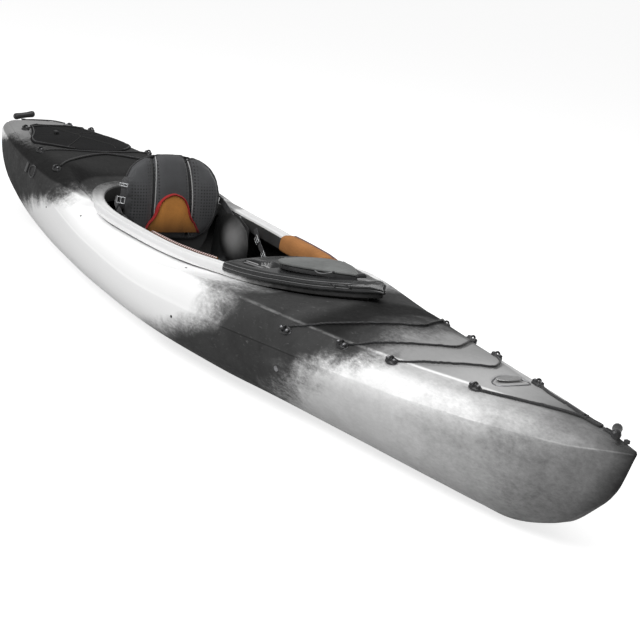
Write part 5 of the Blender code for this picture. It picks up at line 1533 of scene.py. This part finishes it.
def make_back_frame():
    sections = []
    for height in [FRAME_LOW + (FRAME_TOP - FRAME_LOW) * k / 24 for k in range(25)]:
        rear = []
        fore = []
        for y in [frame_half(height) * (-1 + k / 10) for k in range(21)]:
            rib = sum(relief(abs(y), detail) for detail in PLATE_RIBS)
            rear.append(BACK @ Vector((wrap(y) + rib, y, height)))
            fore.append(BACK @ Vector((wrap(y) + BACK_PLATE, y, height)))
        sections.append(rear + fore[::-1])
    plate = loft("back_plate", sections, "pan", "seat_back", sharp=50)
    stands_for(plate, "seat_back_frame")


CUSHION_ROWS = 33


def make_cushion():
    length = CUSHION_X[1] - CUSHION_X[0]

    def bottom(y):
        return PAN_FLOOR_Z + PAN_SHEET + SEAT_GAP + 0.0002 + max(abs(y) - 0.14, 0.0) * 0.32

    def place(i, share, layer):
        run = i / (CUSHION_ROWS - 1)
        tip = math.sin(math.pi * (0.04 + 0.92 * run)) ** 0.35
        half = (CUSHION_HALF_WIDTH - 0.002) * (0.9 + 0.1 * tip) * (1 - 0.02 * math.cos(4 * math.pi * run))
        x = CUSHION_X[0] + 0.002 + (length - 0.004) * run
        y = half * share
        if not layer:
            return (x, y, bottom(y))
        full = (CUSHION_THICKNESS - 0.004) * pillow(share) * tip
        groove = 0.004 * bump(abs(y) - BACK_CHANNEL_Y, 0.016)
        return (x, y, bottom(y) + 0.01 + max(full - groove - 0.01, 0.002) + 0.01 * run)

    verts, faces = pad_grid(CUSHION_ROWS, PAD_SHARES, place)
    pad = add("bottom_cushion", verts, faces, "seat", None)
    puffed(pad, 0.006)
    relaxed(pad)
    for vertex in pad.data.vertices:
        p = vertex.co
        floor = bottom(p.y)
        if p.z < floor + 0.012:
            p.z = max(p.z, floor)
        else:
            run = (p.x - CUSHION_X[0]) / length
            fade = eased(run / 0.08) * eased((1 - run) / 0.08)
            p.z -= (0.007 * bump(abs(p.y) - BACK_CHANNEL_Y, 0.0055)) * fade
            p.z -= relief(run, CUSHION_CROSS_GROOVE) * eased((0.07 - abs(p.y)) / 0.01)
    subdivided(pad)
    finish_piece(pad, "seat", "seat_cushion")
    stands_for(pad, "seat_cushion")


def make_bolsters():
    """Rounded hip pads inside the pan's wings."""
    middle, out, high = BOLSTER_PLACE
    for side, mark in SIDES:
        sections = []
        for v in [-1 + 2 * i / 18 for i in range(19)]:
            face = []
            back = []
            for u in [-1 + 2 * j / 24 for j in range(25)]:
                # Square grid pulled into a rounded outline
                x = middle + BOLSTER_HALF[0] * u * math.sqrt(1 - BOLSTER_ROUNDING * v * v)
                z = high + BOLSTER_HALF[1] * v * math.sqrt(1 - BOLSTER_ROUNDING * u * u)
                z -= BOLSTER_SLOPE * (x - middle)
                full = ((1 - u ** 2) * (1 - v ** 2)) ** 0.8
                face.append((x, side * (out - BOLSTER_DEPTH * full), z))
                back.append((x, side * (out + 0.002), z))
            sections.append(face + back[::-1])
        pad = loft(f"hip_bolster_{mark}", sections, "bolster")


make_seat_pan()
make_bolsters()
back_pad = make_back_pad()
BACK_TREE = tree_of(back_pad)
make_back_piping(BACK_TREE)
make_patch(BACK_TREE)
make_back_frame()
make_cushion()


# Straps, thigh pads


def ribbon(name, route, axis, width, thickness):
    """Webbing along a route, its width along the axis, with a rounded edge."""
    axis = Vector(axis).normalized()
    sections = []
    for k, point in enumerate(route):
        run = (route[min(k + 1, len(route) - 1)] - route[max(k - 1, 0)]).normalized()
        a = axis * width / 2
        b = run.cross(axis).normalized() * thickness / 2
        sections.append([point - a * 0.94 - b, point - a, point - a * 0.94 + b, point + a * 0.94 + b,
                         point + a, point + a * 0.94 - b])
    return loft(name, sections, "webbing", sharp=50)


STRAP_ROUTE = [(-0.548, 0.205, 0.33), (-0.53, 0.213, 0.32), (-0.48, 0.218, 0.295), (-0.42, 0.218, 0.265)]


def make_buckle(name, frame, width, length):
    """Ladder lock: a pale frame with cross bars."""
    half, long = width / 2, length / 2
    bar = 0.003
    parts = [((x, -long, 0), (x + bar, long, bar)) for x in (-half, half - bar)]
    for place in (-long, -bar / 2, long - bar):
        parts.append(((-half + 0.001, place, 0.0004), (half - 0.001, place + bar, 0.0036)))
    return merged(name, [block(f"{name}_{k}", low, high, frame, "steel", "hull", 0.0008)
                         for k, (low, high) in enumerate(parts)])


LIFT_ROUTE = [(-0.3, 0.2165, 0.29), (-0.276, 0.2155, 0.262), (-0.25, 0.215, 0.24), (-0.214, 0.2145, 0.216)]
TAIL_ROUTE = [(-0.512, -0.19, 0.412), (-0.5, -0.204, 0.4), (-0.488, -0.2095, 0.374),
              (-0.486, -0.2115, 0.348), (-0.49, -0.2135, 0.322), (-0.503, -0.214, 0.3)]
TAIL_BUCKLES = [((-0.483, -0.214, 0.392), 0.012), ((-0.486, -0.2165, 0.338), 0.024)]


def make_straps():
    for side, mark in SIDES:
        route = even_route(mirrored(STRAP_ROUTE, side), 0.008)
        strap = ribbon(f"strap_{mark}", route, (0.35, 0, 0.94), 0.024, 0.0022)
        stands_for(strap, f"back_strap_{mark}")
        route = even_route(mirrored(LIFT_ROUTE, side), 0.006)
        ribbon(f"lift_strap_{mark}", route, (0.8, 0, 0.6), 0.022, 0.002)
        for k, (x, z) in enumerate([(-0.272, 0.258), (-0.216, 0.218)]):
            spot = frame_along((x, side * 0.2125, z), (0, -side, 0), (0.75, 0, -0.65))
            make_buckle(f"lift_buckle_{mark}_{k + 1}", spot, 0.028, 0.022)
    ribbon("strap_tail", even_route(TAIL_ROUTE, 0.006), (0.5, 0.86, 0), 0.02, 0.0018)
    for k, (place, width) in enumerate(TAIL_BUCKLES):
        make_buckle(f"tail_buckle_{k + 1}", frame_along(place, (0.7, -0.7, 0.1)), width, 0.03)


THIGH_PADS = {
    "port": ((0.222, 0.53), [
        (0.03, 0.0016), (0.0, 0.003), (0.03, 0.0068), (0.1, 0.0095), (0.2, 0.0118), (0.35, 0.0138),
        (0.55, 0.0146), (0.78, 0.014), (0.98, 0.0115), (1.14, 0.0062), (1.26, -0.001), (1.34, -0.012),
        (1.37, -0.026), (1.36, -0.04), (1.32, -0.046), (1.2, -0.0485), (1.07, -0.048), (1.06, -0.03),
        (1.055, -0.012), (1.02, -0.0045), (0.98, -0.0012), (0.85, 0.0005), (0.7, 0.0016),
        (0.35, 0.0016),
    ]),
    "starboard": ((0.165, 0.505), [
        (0.87, 0.0005), (0.87, 0.0018), (0.9, 0.0036), (0.96, 0.0046), (1.02, 0.0046), (1.1, 0.0034),
        (1.18, 0.0014), (1.26, -0.0028), (1.32, -0.0095), (1.36, -0.018), (1.37, -0.026),
        (1.36, -0.036), (1.33, -0.0445), (1.26, -0.0488), (1.16, -0.0492), (1.07, -0.0482),
        (1.06, -0.03), (1.052, -0.012), (1.04, -0.0074), (0.98, -0.002), (0.95, 0.0002),
    ]),
}


THIGH_ROWS = 56


def make_thigh_pads():
    """Padded on the port side; the starboard one shows its ribbed mesh edge above the rim."""
    for side, mark in SIDES:
        (low, high), profile = THIGH_PADS[mark]
        sections = []
        for k in range(THIGH_ROWS):
            run = k / (THIGH_ROWS - 1)
            eased_in = 0.5 - 0.5 * math.cos(math.pi * run)
            angle = low + (high - low) * eased_in * 0.5 + (high - low) * run * 0.5
            turn = angle if side > 0 else math.pi - angle
            x_out, _ = rim_place(turn, 0.0)
            slim = math.sin(math.pi * (0.05 + 0.9 * run)) ** 0.35
            section = []
            for share, rise in profile:
                if rise > 0.0017 and slim < 1:
                    rise = 0.0016 + (rise - 0.0016) * slim
                if share < 0.8:
                    share = 0.55 + (share - 0.55) * (0.88 + 0.12 * slim)
                x, y = rim_place(turn, share)
                section.append((x, y, rim_top(x_out) + rise))
            sections.append(section)
        pad = loft(f"thigh_cushion_{mark}", sections, "pad_orange")
        pad.data.materials.append(MATERIAL["mesh_edge"])
        last_mesh_face = 5 if side > 0 else 7
        for k, polygon in enumerate(pad.data.polygons):
            if len(polygon.vertices) == 4 and k % len(profile) <= last_mesh_face:
                polygon.material_index = 1
        stands_for(pad, f"thigh_pad_{mark}")
        seam_point = 5 if side > 0 else 8
        seam = [Vector(section[seam_point]) + Vector((0, 0, 0.0006)) for section in sections[2:-2]]
        sweep(f"thigh_seam_{mark}", seam, 0.0014, "maroon", sides=8)


make_straps()
make_thigh_pads()


# Cords and eyes

CORD_RADIUS = 0.0028
BUNGEE_RADIUS = 0.004
LINE_RADIUS = 0.0041
BADGE_PLACE = (1.412, 0.0)
BADGE_HALF = (0.036, 0.0575)
BOW_EYES = [(x, y) for x, y, _ in STEP_EYES] + [(1.397, 0.105)]
AFT_EYES = [(-1.5, 0.139), (-1.16, 0.222), (-0.92, 0.262)]
CORD_GAP = 0.0003
STEEPEST = 0.4
EYE_LENGTH = 0.045
EYE_WIDTH = 0.0265


def eye_frame(x, y):
    """Frame of an eye's base, sunk until its edge meets the deck."""
    hit, normal = dropped(HULL, x, y)
    frame = frame_along(hit, normal, (1, 0, 0))
    least = 1.0
    for c, s in circle(16):
        for reach in (1.0, 0.5):
            start = frame @ Vector((EYE_LENGTH / 2 * reach * c, EYE_WIDTH / 2 * reach * s, 0.05))
            found, _, _, _ = HULL.ray_cast(start, -normal)
            if found:
                least = min(least, (start - found).length - 0.05)
    return Matrix.Translation(normal * (0.0001 - least)) @ frame


EYE_PLATE = [(0.97, 0.0), (1, 0.0005), (1, 0.0012), (0.97, 0.0017)]
EYE_BODY = [(0.97, 0.0017), (0.985, 0.0034), (0.95, 0.0048), (0.8, 0.0066), (0.7, 0.0082), (0.5, 0.0092),
            (0.2, 0.0096)]
EYE_BOSS = [(0.0072, -0.003), (0.0074, 0.003), (0.0066, 0.0046), (0.005, 0.0052)]
EYE_SCREW = [(0.0042, 0.0048), (0.0042, 0.0058), (0.0032, 0.0068), (0.0014, 0.0071)]
EYE_ARCH = [(-0.0085, 0.0075), (-0.0075, 0.0125), (-0.004, 0.0158), (0, 0.0168), (0.004, 0.0158),
            (0.0075, 0.0125), (0.0085, 0.0075)]


def make_eye(node, x, y):
    """Pad eye: thin base, a tall rounded body with a waist, two screws and a saddle over the cord."""
    frame = eye_frame(x, y)
    half = EYE_LENGTH / 2
    flat = EYE_WIDTH / EYE_LENGTH
    plate = [(half * share, height) for share, height in EYE_PLATE]
    body = [(half * share, height) for share, height in EYE_BODY]
    pieces = [turned(node + "_plate", plate, frame, 36, "screw", flat),
              turned(node + "_base", body, frame, 36, "black", flat * 1.12)]
    for end in (-1, 1):
        spot = frame @ Matrix.Translation((end * half * 0.6, 0, 0.007))
        pieces.append(turned(f"{node}_boss{end}", EYE_BOSS, spot, 20, "black"))
        pieces.append(turned(f"{node}_screw{end}", EYE_SCREW, spot, 18, "screw"))
    arch = [frame @ Vector((0, a, c)) for a, c in EYE_ARCH]
    pieces.append(sweep(node + "_saddle", arch, 0.0032, "black", sides=12))
    stands_for(merged(node + "_fitting", pieces), node)
    return frame.translation


def laid(route, radius, step, tree=HULL):
    """A cord's points, just clear of the deck all the way.

    On a slope it rises more, up to a normal whose Z is STEEPEST.
    """
    clear = radius + CORD_GAP
    places = []
    for point in even_route([(x, y, 0.0) for x, y in route], step):
        hit, normal = dropped(tree, point.x, point.y)
        places.append(hit + Vector((0, 0, clear / max(normal.z, STEEPEST))))
    for _ in range(4):
        for a, b in zip(places, places[1:]):
            short = 0.0
            for k in range(1, 4):
                mid = a.lerp(b, k / 4)
                hit, normal = dropped(tree, mid.x, mid.y)
                short = max(short, (clear - (mid.z - hit.z) * normal.z) / max(normal.z, STEEPEST))
            a.z += short * 0.6
            b.z += short * 0.6
    return places


def bowed(eye, lead, reach, bend=STEP_BEND):
    """Route from a starboard eye to its port twin, bowed forward in the middle."""
    x, y = eye.x + lead[0], abs(eye.y) - lead[1]
    half = [(x + reach * (1 - share ** bend), -y * share) for share in (1.0, 0.82, 0.62, 0.42, 0.2, 0.0)]
    return half + [(px, -py) for px, py in reversed(half[:-1])]


def through_eyes(points, near, far, x, y, z):
    """The points with a start and an end inside the saddles of two eyes."""
    return ([Vector((near.x + x, near.y + y, near.z + z))] + points
            + [Vector((far.x + x, far.y - y, far.z + z))])


def raised(spot, by):
    return spot + Vector((0, 0, by))


def make_bow_line(near, far):
    """V line from the fourth eyes to its turn near the bow, with its knot and the leads past it."""
    strand = LINE_RADIUS + 0.0006
    half = [(near.x + 0.0245, near.y + 0.003), (1.5, -0.07), (1.586, -0.042), (1.66, -0.018),
            (1.71, -strand), (1.745, -strand), (1.762, -strand)]
    turn = [(1.77, -strand * 0.85), (1.7735, 0.0), (1.77, strand * 0.85)]
    points = laid(half + turn + [(x, -y) for x, y in reversed(half)], LINE_RADIUS, 0.006)
    line = sweep("bow_line", through_eyes(points, near, far, 0.004, 0.0, 0.012), LINE_RADIUS, "cord")
    stands_for(line, "bow_v_line")
    deck = dropped(HULL, 1.712, 0.0)[0].z
    knot = [(1.704, -0.006, deck + 0.005), (1.707, 0.0, deck + 0.0105), (1.712, 0.007, deck + 0.006),
            (1.718, 0.0, deck + 0.011), (1.722, -0.006, deck + 0.005)]
    sweep("line_knot", knot, 0.003, "cord")
    for side, mark in SIDES:
        lead = [(1.786, side * 0.004), (1.8, side * 0.0055), (1.818, side * 0.0055), (1.834, side * 0.004)]
        sweep(f"bow_lead_{mark}", laid(lead, 0.003, 0.004), 0.003, "cord")


def make_badge_ring():
    ring = []
    for c, s in circle(72):
        spot, _ = dropped(HULL, BADGE_PLACE[0] + BADGE_HALF[0] * c, BADGE_PLACE[1] + BADGE_HALF[1] * s)
        ring.append(raised(spot, 0.0004))
    sweep("badge_ring", ring, 0.0022, "screw", sides=8, closed=True)


def thinner_ends(run):
    return 1.0 - 0.25 * eased((abs(run - 0.5) - 0.2) / 0.3)


def make_cords():
    eyes = {}
    for row, places in (("bow", BOW_EYES), ("aft", AFT_EYES)):
        for i, (x, y) in enumerate(places):
            for side, mark in SIDES:
                node = f"{row}_eye_{mark}_{i + 1}"
                eyes[node] = make_eye(node, x, side * y)
    for i, (_, _, reach) in enumerate(STEP_EYES):
        near, far = eyes[f"bow_eye_starboard_{i + 1}"], eyes[f"bow_eye_port_{i + 1}"]
        points = through_eyes(laid(bowed(near, CORD_LEAD, reach), CORD_RADIUS, 0.008), near, far,
                              0.002, 0.003, 0.0125)
        cord = sweep(f"deck_cord_{i + 1}", points, CORD_RADIUS, "cord")
        stands_for(cord, f"bow_cord_{i + 1}")
    make_bow_line(eyes["bow_eye_starboard_4"], eyes["bow_eye_port_4"])
    make_badge_ring()
    points = laid(bowed(eyes["aft_eye_starboard_2"], CORD_LEAD, 0.055, 1.9), CORD_RADIUS, 0.008)
    cord = sweep("cover_fore_line", points, CORD_RADIUS, "cord")
    stands_for(cord, "cover_front_cord")
    points = laid(bowed(eyes["aft_eye_starboard_3"], (-0.011, 0.017), -0.138, 1.6), BUNGEE_RADIUS, 0.01)
    bungee = sweep("crest_shock_cord", points, BUNGEE_RADIUS, "bungee", taper=thinner_ends)
    stands_for(bungee, "crest_bungee")
    return eyes


eyes = make_cords()


# Tankwell cover

COVER_HALF_WIDTH = [
    (-1.58, 0.06), (-1.55, 0.1), (-1.5, 0.116), (-1.41, 0.15), (-1.33, 0.19), (-1.28, 0.2),
    (-1.244, 0.19), (-1.2, 0.166), (-1.165, 0.14), (-1.13, 0.1), (-1.112, 0.065), (-1.104, 0.03),
]
COVER_SHEET = 0.0026
COVER_AFT_X = -1.58
COVER_FORE_X = -1.104
COVER_SIZE = (0.4, 0.476)
COVER_STEP = 0.007
cover_half = curve_through(COVER_HALF_WIDTH)


def cover_level(x, y):
    """Top of the fabric: it lies over the well, a little slack, with a hem and two seams."""
    half = cover_half(x)
    share = min(abs(y) / half, 1.0)
    run = (x - COVER_AFT_X) / COVER_SIZE[1]
    bow = 0.008 * (1 - share * share) * math.sin(math.pi * run)
    base = deck_base(x, y) + 0.0022 + bow
    seam = bump(x + 1.36 + 0.25 * abs(y), 0.004) + bump(x + 1.33 - 0.2 * y, 0.004)
    return base - 0.0012 * seam


def make_cover():
    xs = spread(COVER_AFT_X, COVER_FORE_X, COVER_STEP) + [COVER_FORE_X]
    shares = [-1, -0.985] + [-0.96 + 0.06 * k for k in range(33)] + [0.985, 1]
    rows = [[(x, cover_half(x) * s, cover_level(x, cover_half(x) * s)) for s in shares] for x in xs]
    drop = min(z - dropped(HULL, x, y)[0].z for row in rows for x, y, z in row) - 0.0006
    loops = []
    for row in rows:
        low = [(x, y, z - drop) for x, y, z in row]
        high = []
        for (x, y, z), s in zip(low, shares):
            hem = 0.0014 * eased((abs(s) - 0.9) / 0.02)
            slack = 0.0011 * math.sin(37 * x + 9 * y) * (1 - abs(s) ** 3)
            high.append((x, y, z + COVER_SHEET + hem + slack))
        loops.append(low + high[::-1])
    cover = loft("well_cover", loops, "cover", sharp=50)
    area = sum(2 * cover_half(x) * COVER_STEP for x in xs)
    stands_for(cover, "tankwell_cover")
    return cover


cover = make_cover()
COVER_TREE = tree_of(hull, cover)


def make_cover_cord():
    route = bowed(eyes["aft_eye_starboard_1"], (-0.011, 0.0145), -0.022, 2.5)
    cord = sweep("cover_aft_line", laid(route, CORD_RADIUS, 0.008, COVER_TREE), CORD_RADIUS, "cord")
    stands_for(cord, "cover_aft_cord")


COVER_SEAMS = [
    [(-1.53, -0.05), (-1.44, -0.02), (-1.362, 0.006), (-1.311, 0.004), (-1.22, -0.065), (-1.16, -0.115)],
    [(-1.311, 0.004), (-1.266, 0.046), (-1.2, 0.085), (-1.142, 0.075)],
    [(-1.44, 0.12), (-1.39, 0.06), (-1.362, 0.006)],
]


def make_cover_seams():
    """Three stitched seams and a drawcord along each edge."""
    for k, line in enumerate(COVER_SEAMS):
        route = even_route([(x, y, 0.0) for x, y in line], 0.008)
        points = [raised(dropped(COVER_TREE, p.x, p.y)[0], 0.0006) for p in route]
        sweep(f"cover_seam_{k + 1}", points, 0.0016, "rubber", sides=8)
    for side, mark in SIDES:
        hem = [raised(dropped(COVER_TREE, x, side * (cover_half(x) - 0.007))[0], 0.0008)
               for x in spread(-1.55, -1.125, 0.01)]
        sweep(f"cover_draw_{mark}", hem, 0.0024, "cord")


SIDE_PLUGS = [(0.244, 0.16, 0.0048), (-0.828, 0.221, 0.003), (-0.538, 0.267, 0.003)]


def make_side_plugs():
    """Small black plugs in the hull's side and in the groove under the rim."""
    for side, mark in SIDES:
        for k, (x, z, radius) in enumerate(SIDE_PLUGS):
            profile = [(radius, -0.001), (radius, 0.0006), (radius * 0.8, 0.0014), (radius * 0.3, 0.0016)]
            turned(f"side_plug_{mark}_{k + 1}", profile, frame_along(*side_of(x, z, side)), 20, "rubber")
        turned(f"groove_plug_{mark}", [(0.004, -0.001), (0.004, 0.0008), (0.003, 0.0016), (0.001, 0.0018)],
               frame_along(*dropped(HULL, 0.138, side * 0.287)), 18, "rubber")


make_cover_cord()
make_cover_seams()
make_side_plugs()


# Plain materials on the nodes whose shape is right

NODE_MATERIALS = {
    "alloy": ["lid_hinge_pin", "seat_back_pin", "seat_bolt_port", "seat_bolt_starboard", "foot_rail_port",
              "foot_rail_starboard"],
    "screw": ["rail_bolt_port", "rail_bolt_starboard"],
    "black": ["foot_pedal_port", "foot_pedal_starboard", "bow_toggle", "bow_toggle_anchor",
              "stern_toggle", "stern_toggle_anchor", "stern_cord_eye", "cord_lock", "paddle_park_hook"],
    "cord": ["stern_cord", "paddle_park_loop"],
    "foam": ["bow_foam_pillar", "stern_foam_pillar"],
    "badge": ["badge_plate"],
}
for key, names in NODE_MATERIALS.items():
    for name in names:
        node = frame["nodes"][name]
        for slot in node.material_slots:
            slot.material = MATERIAL[key]


# Stage, lights and camera


FLOOR_HALF = 60
FLOOR_GLOW = 0.75
GLOSSY_GLOW = 0.4
WORLD_LIGHT = 0.36


def make_stage():
    """A white floor and world, bright to the camera and dimmer as light on the kayak."""
    n = Nodes("floor", rough=0.9)
    camera_ray = n.node("ShaderNodeLightPath", {}, "Is Camera Ray")
    glossy_ray = n.node("ShaderNodeLightPath", {}, "Is Glossy Ray")
    n.set("Emission Color", grey(1))
    n.set("Emission Strength", n.math("MAXIMUM", camera_ray, glossy_ray * GLOSSY_GLOW) * FLOOR_GLOW)
    MATERIAL["floor"] = n.material
    corners = [(FLOOR_HALF * x, FLOOR_HALF * y, 0) for x, y in ((-1, -1), (1, -1), (1, 1), (-1, 1))]
    add("floor", corners, [(0, 1, 2, 3)], "floor", None, smooth=False)
    world = bpy.data.worlds.new("studio")
    SCENE.world = world
    world.use_nodes = True
    tree = world.node_tree
    path = tree.nodes.new("ShaderNodeLightPath")
    seen = tree.nodes.new("ShaderNodeMath")
    seen.operation = "MAXIMUM"
    strength = tree.nodes.new("ShaderNodeMapRange")
    strength.inputs["To Min"].default_value = WORLD_LIGHT
    strength.inputs["To Max"].default_value = 1.0
    background = tree.nodes["Background"]
    background.inputs["Color"].default_value = (1, 1, 1, 1)
    for output, socket in ((path.outputs["Is Camera Ray"], seen.inputs[0]),
                           (path.outputs["Is Transmission Ray"], seen.inputs[1]),
                           (seen.outputs[0], strength.inputs["Value"]),
                           (strength.outputs[0], background.inputs["Strength"])):
        tree.links.new(output, socket)


def add_area(name, place, target, size, power):
    light = bpy.data.lights.new(name, "AREA")
    light.shape = "RECTANGLE"
    light.size, light.size_y = size
    light.energy = power
    linked(name, light).matrix_world = frame_along(place, Vector(place) - Vector(target), (1, 0, 0))


def make_camera():
    forward = Vector((
        math.cos(CAMERA_YAW) * math.cos(CAMERA_PITCH),
        math.sin(CAMERA_YAW) * math.cos(CAMERA_PITCH),
        math.sin(CAMERA_PITCH),
    ))
    right = Vector((math.sin(CAMERA_YAW), -math.cos(CAMERA_YAW), 0))
    up = right.cross(forward)
    rolled_right = right * math.cos(CAMERA_ROLL) + up * math.sin(CAMERA_ROLL)
    rolled_up = up * math.cos(CAMERA_ROLL) - right * math.sin(CAMERA_ROLL)
    data = bpy.data.cameras.new("camera")
    data.lens = CAMERA_LENS
    data.sensor_width = 36
    data.clip_end = 200
    camera = linked("camera", data)
    matrix = Matrix((rolled_right, rolled_up, -forward)).transposed().to_4x4()
    matrix.translation = Vector(CAMERA_PLACE)
    camera.matrix_world = matrix
    SCENE.camera = camera


make_stage()
make_camera()
add_area("key", (1.2, -4.0, 4.0), (0.0, 0.0, 0.2), (5.0, 2.2), 228)
add_area("top", (0.0, 0.5, 4.5), (0.0, 0.0, 0.2), (5.0, 3.0), 95)
SCENE.view_settings.view_transform = "Standard"
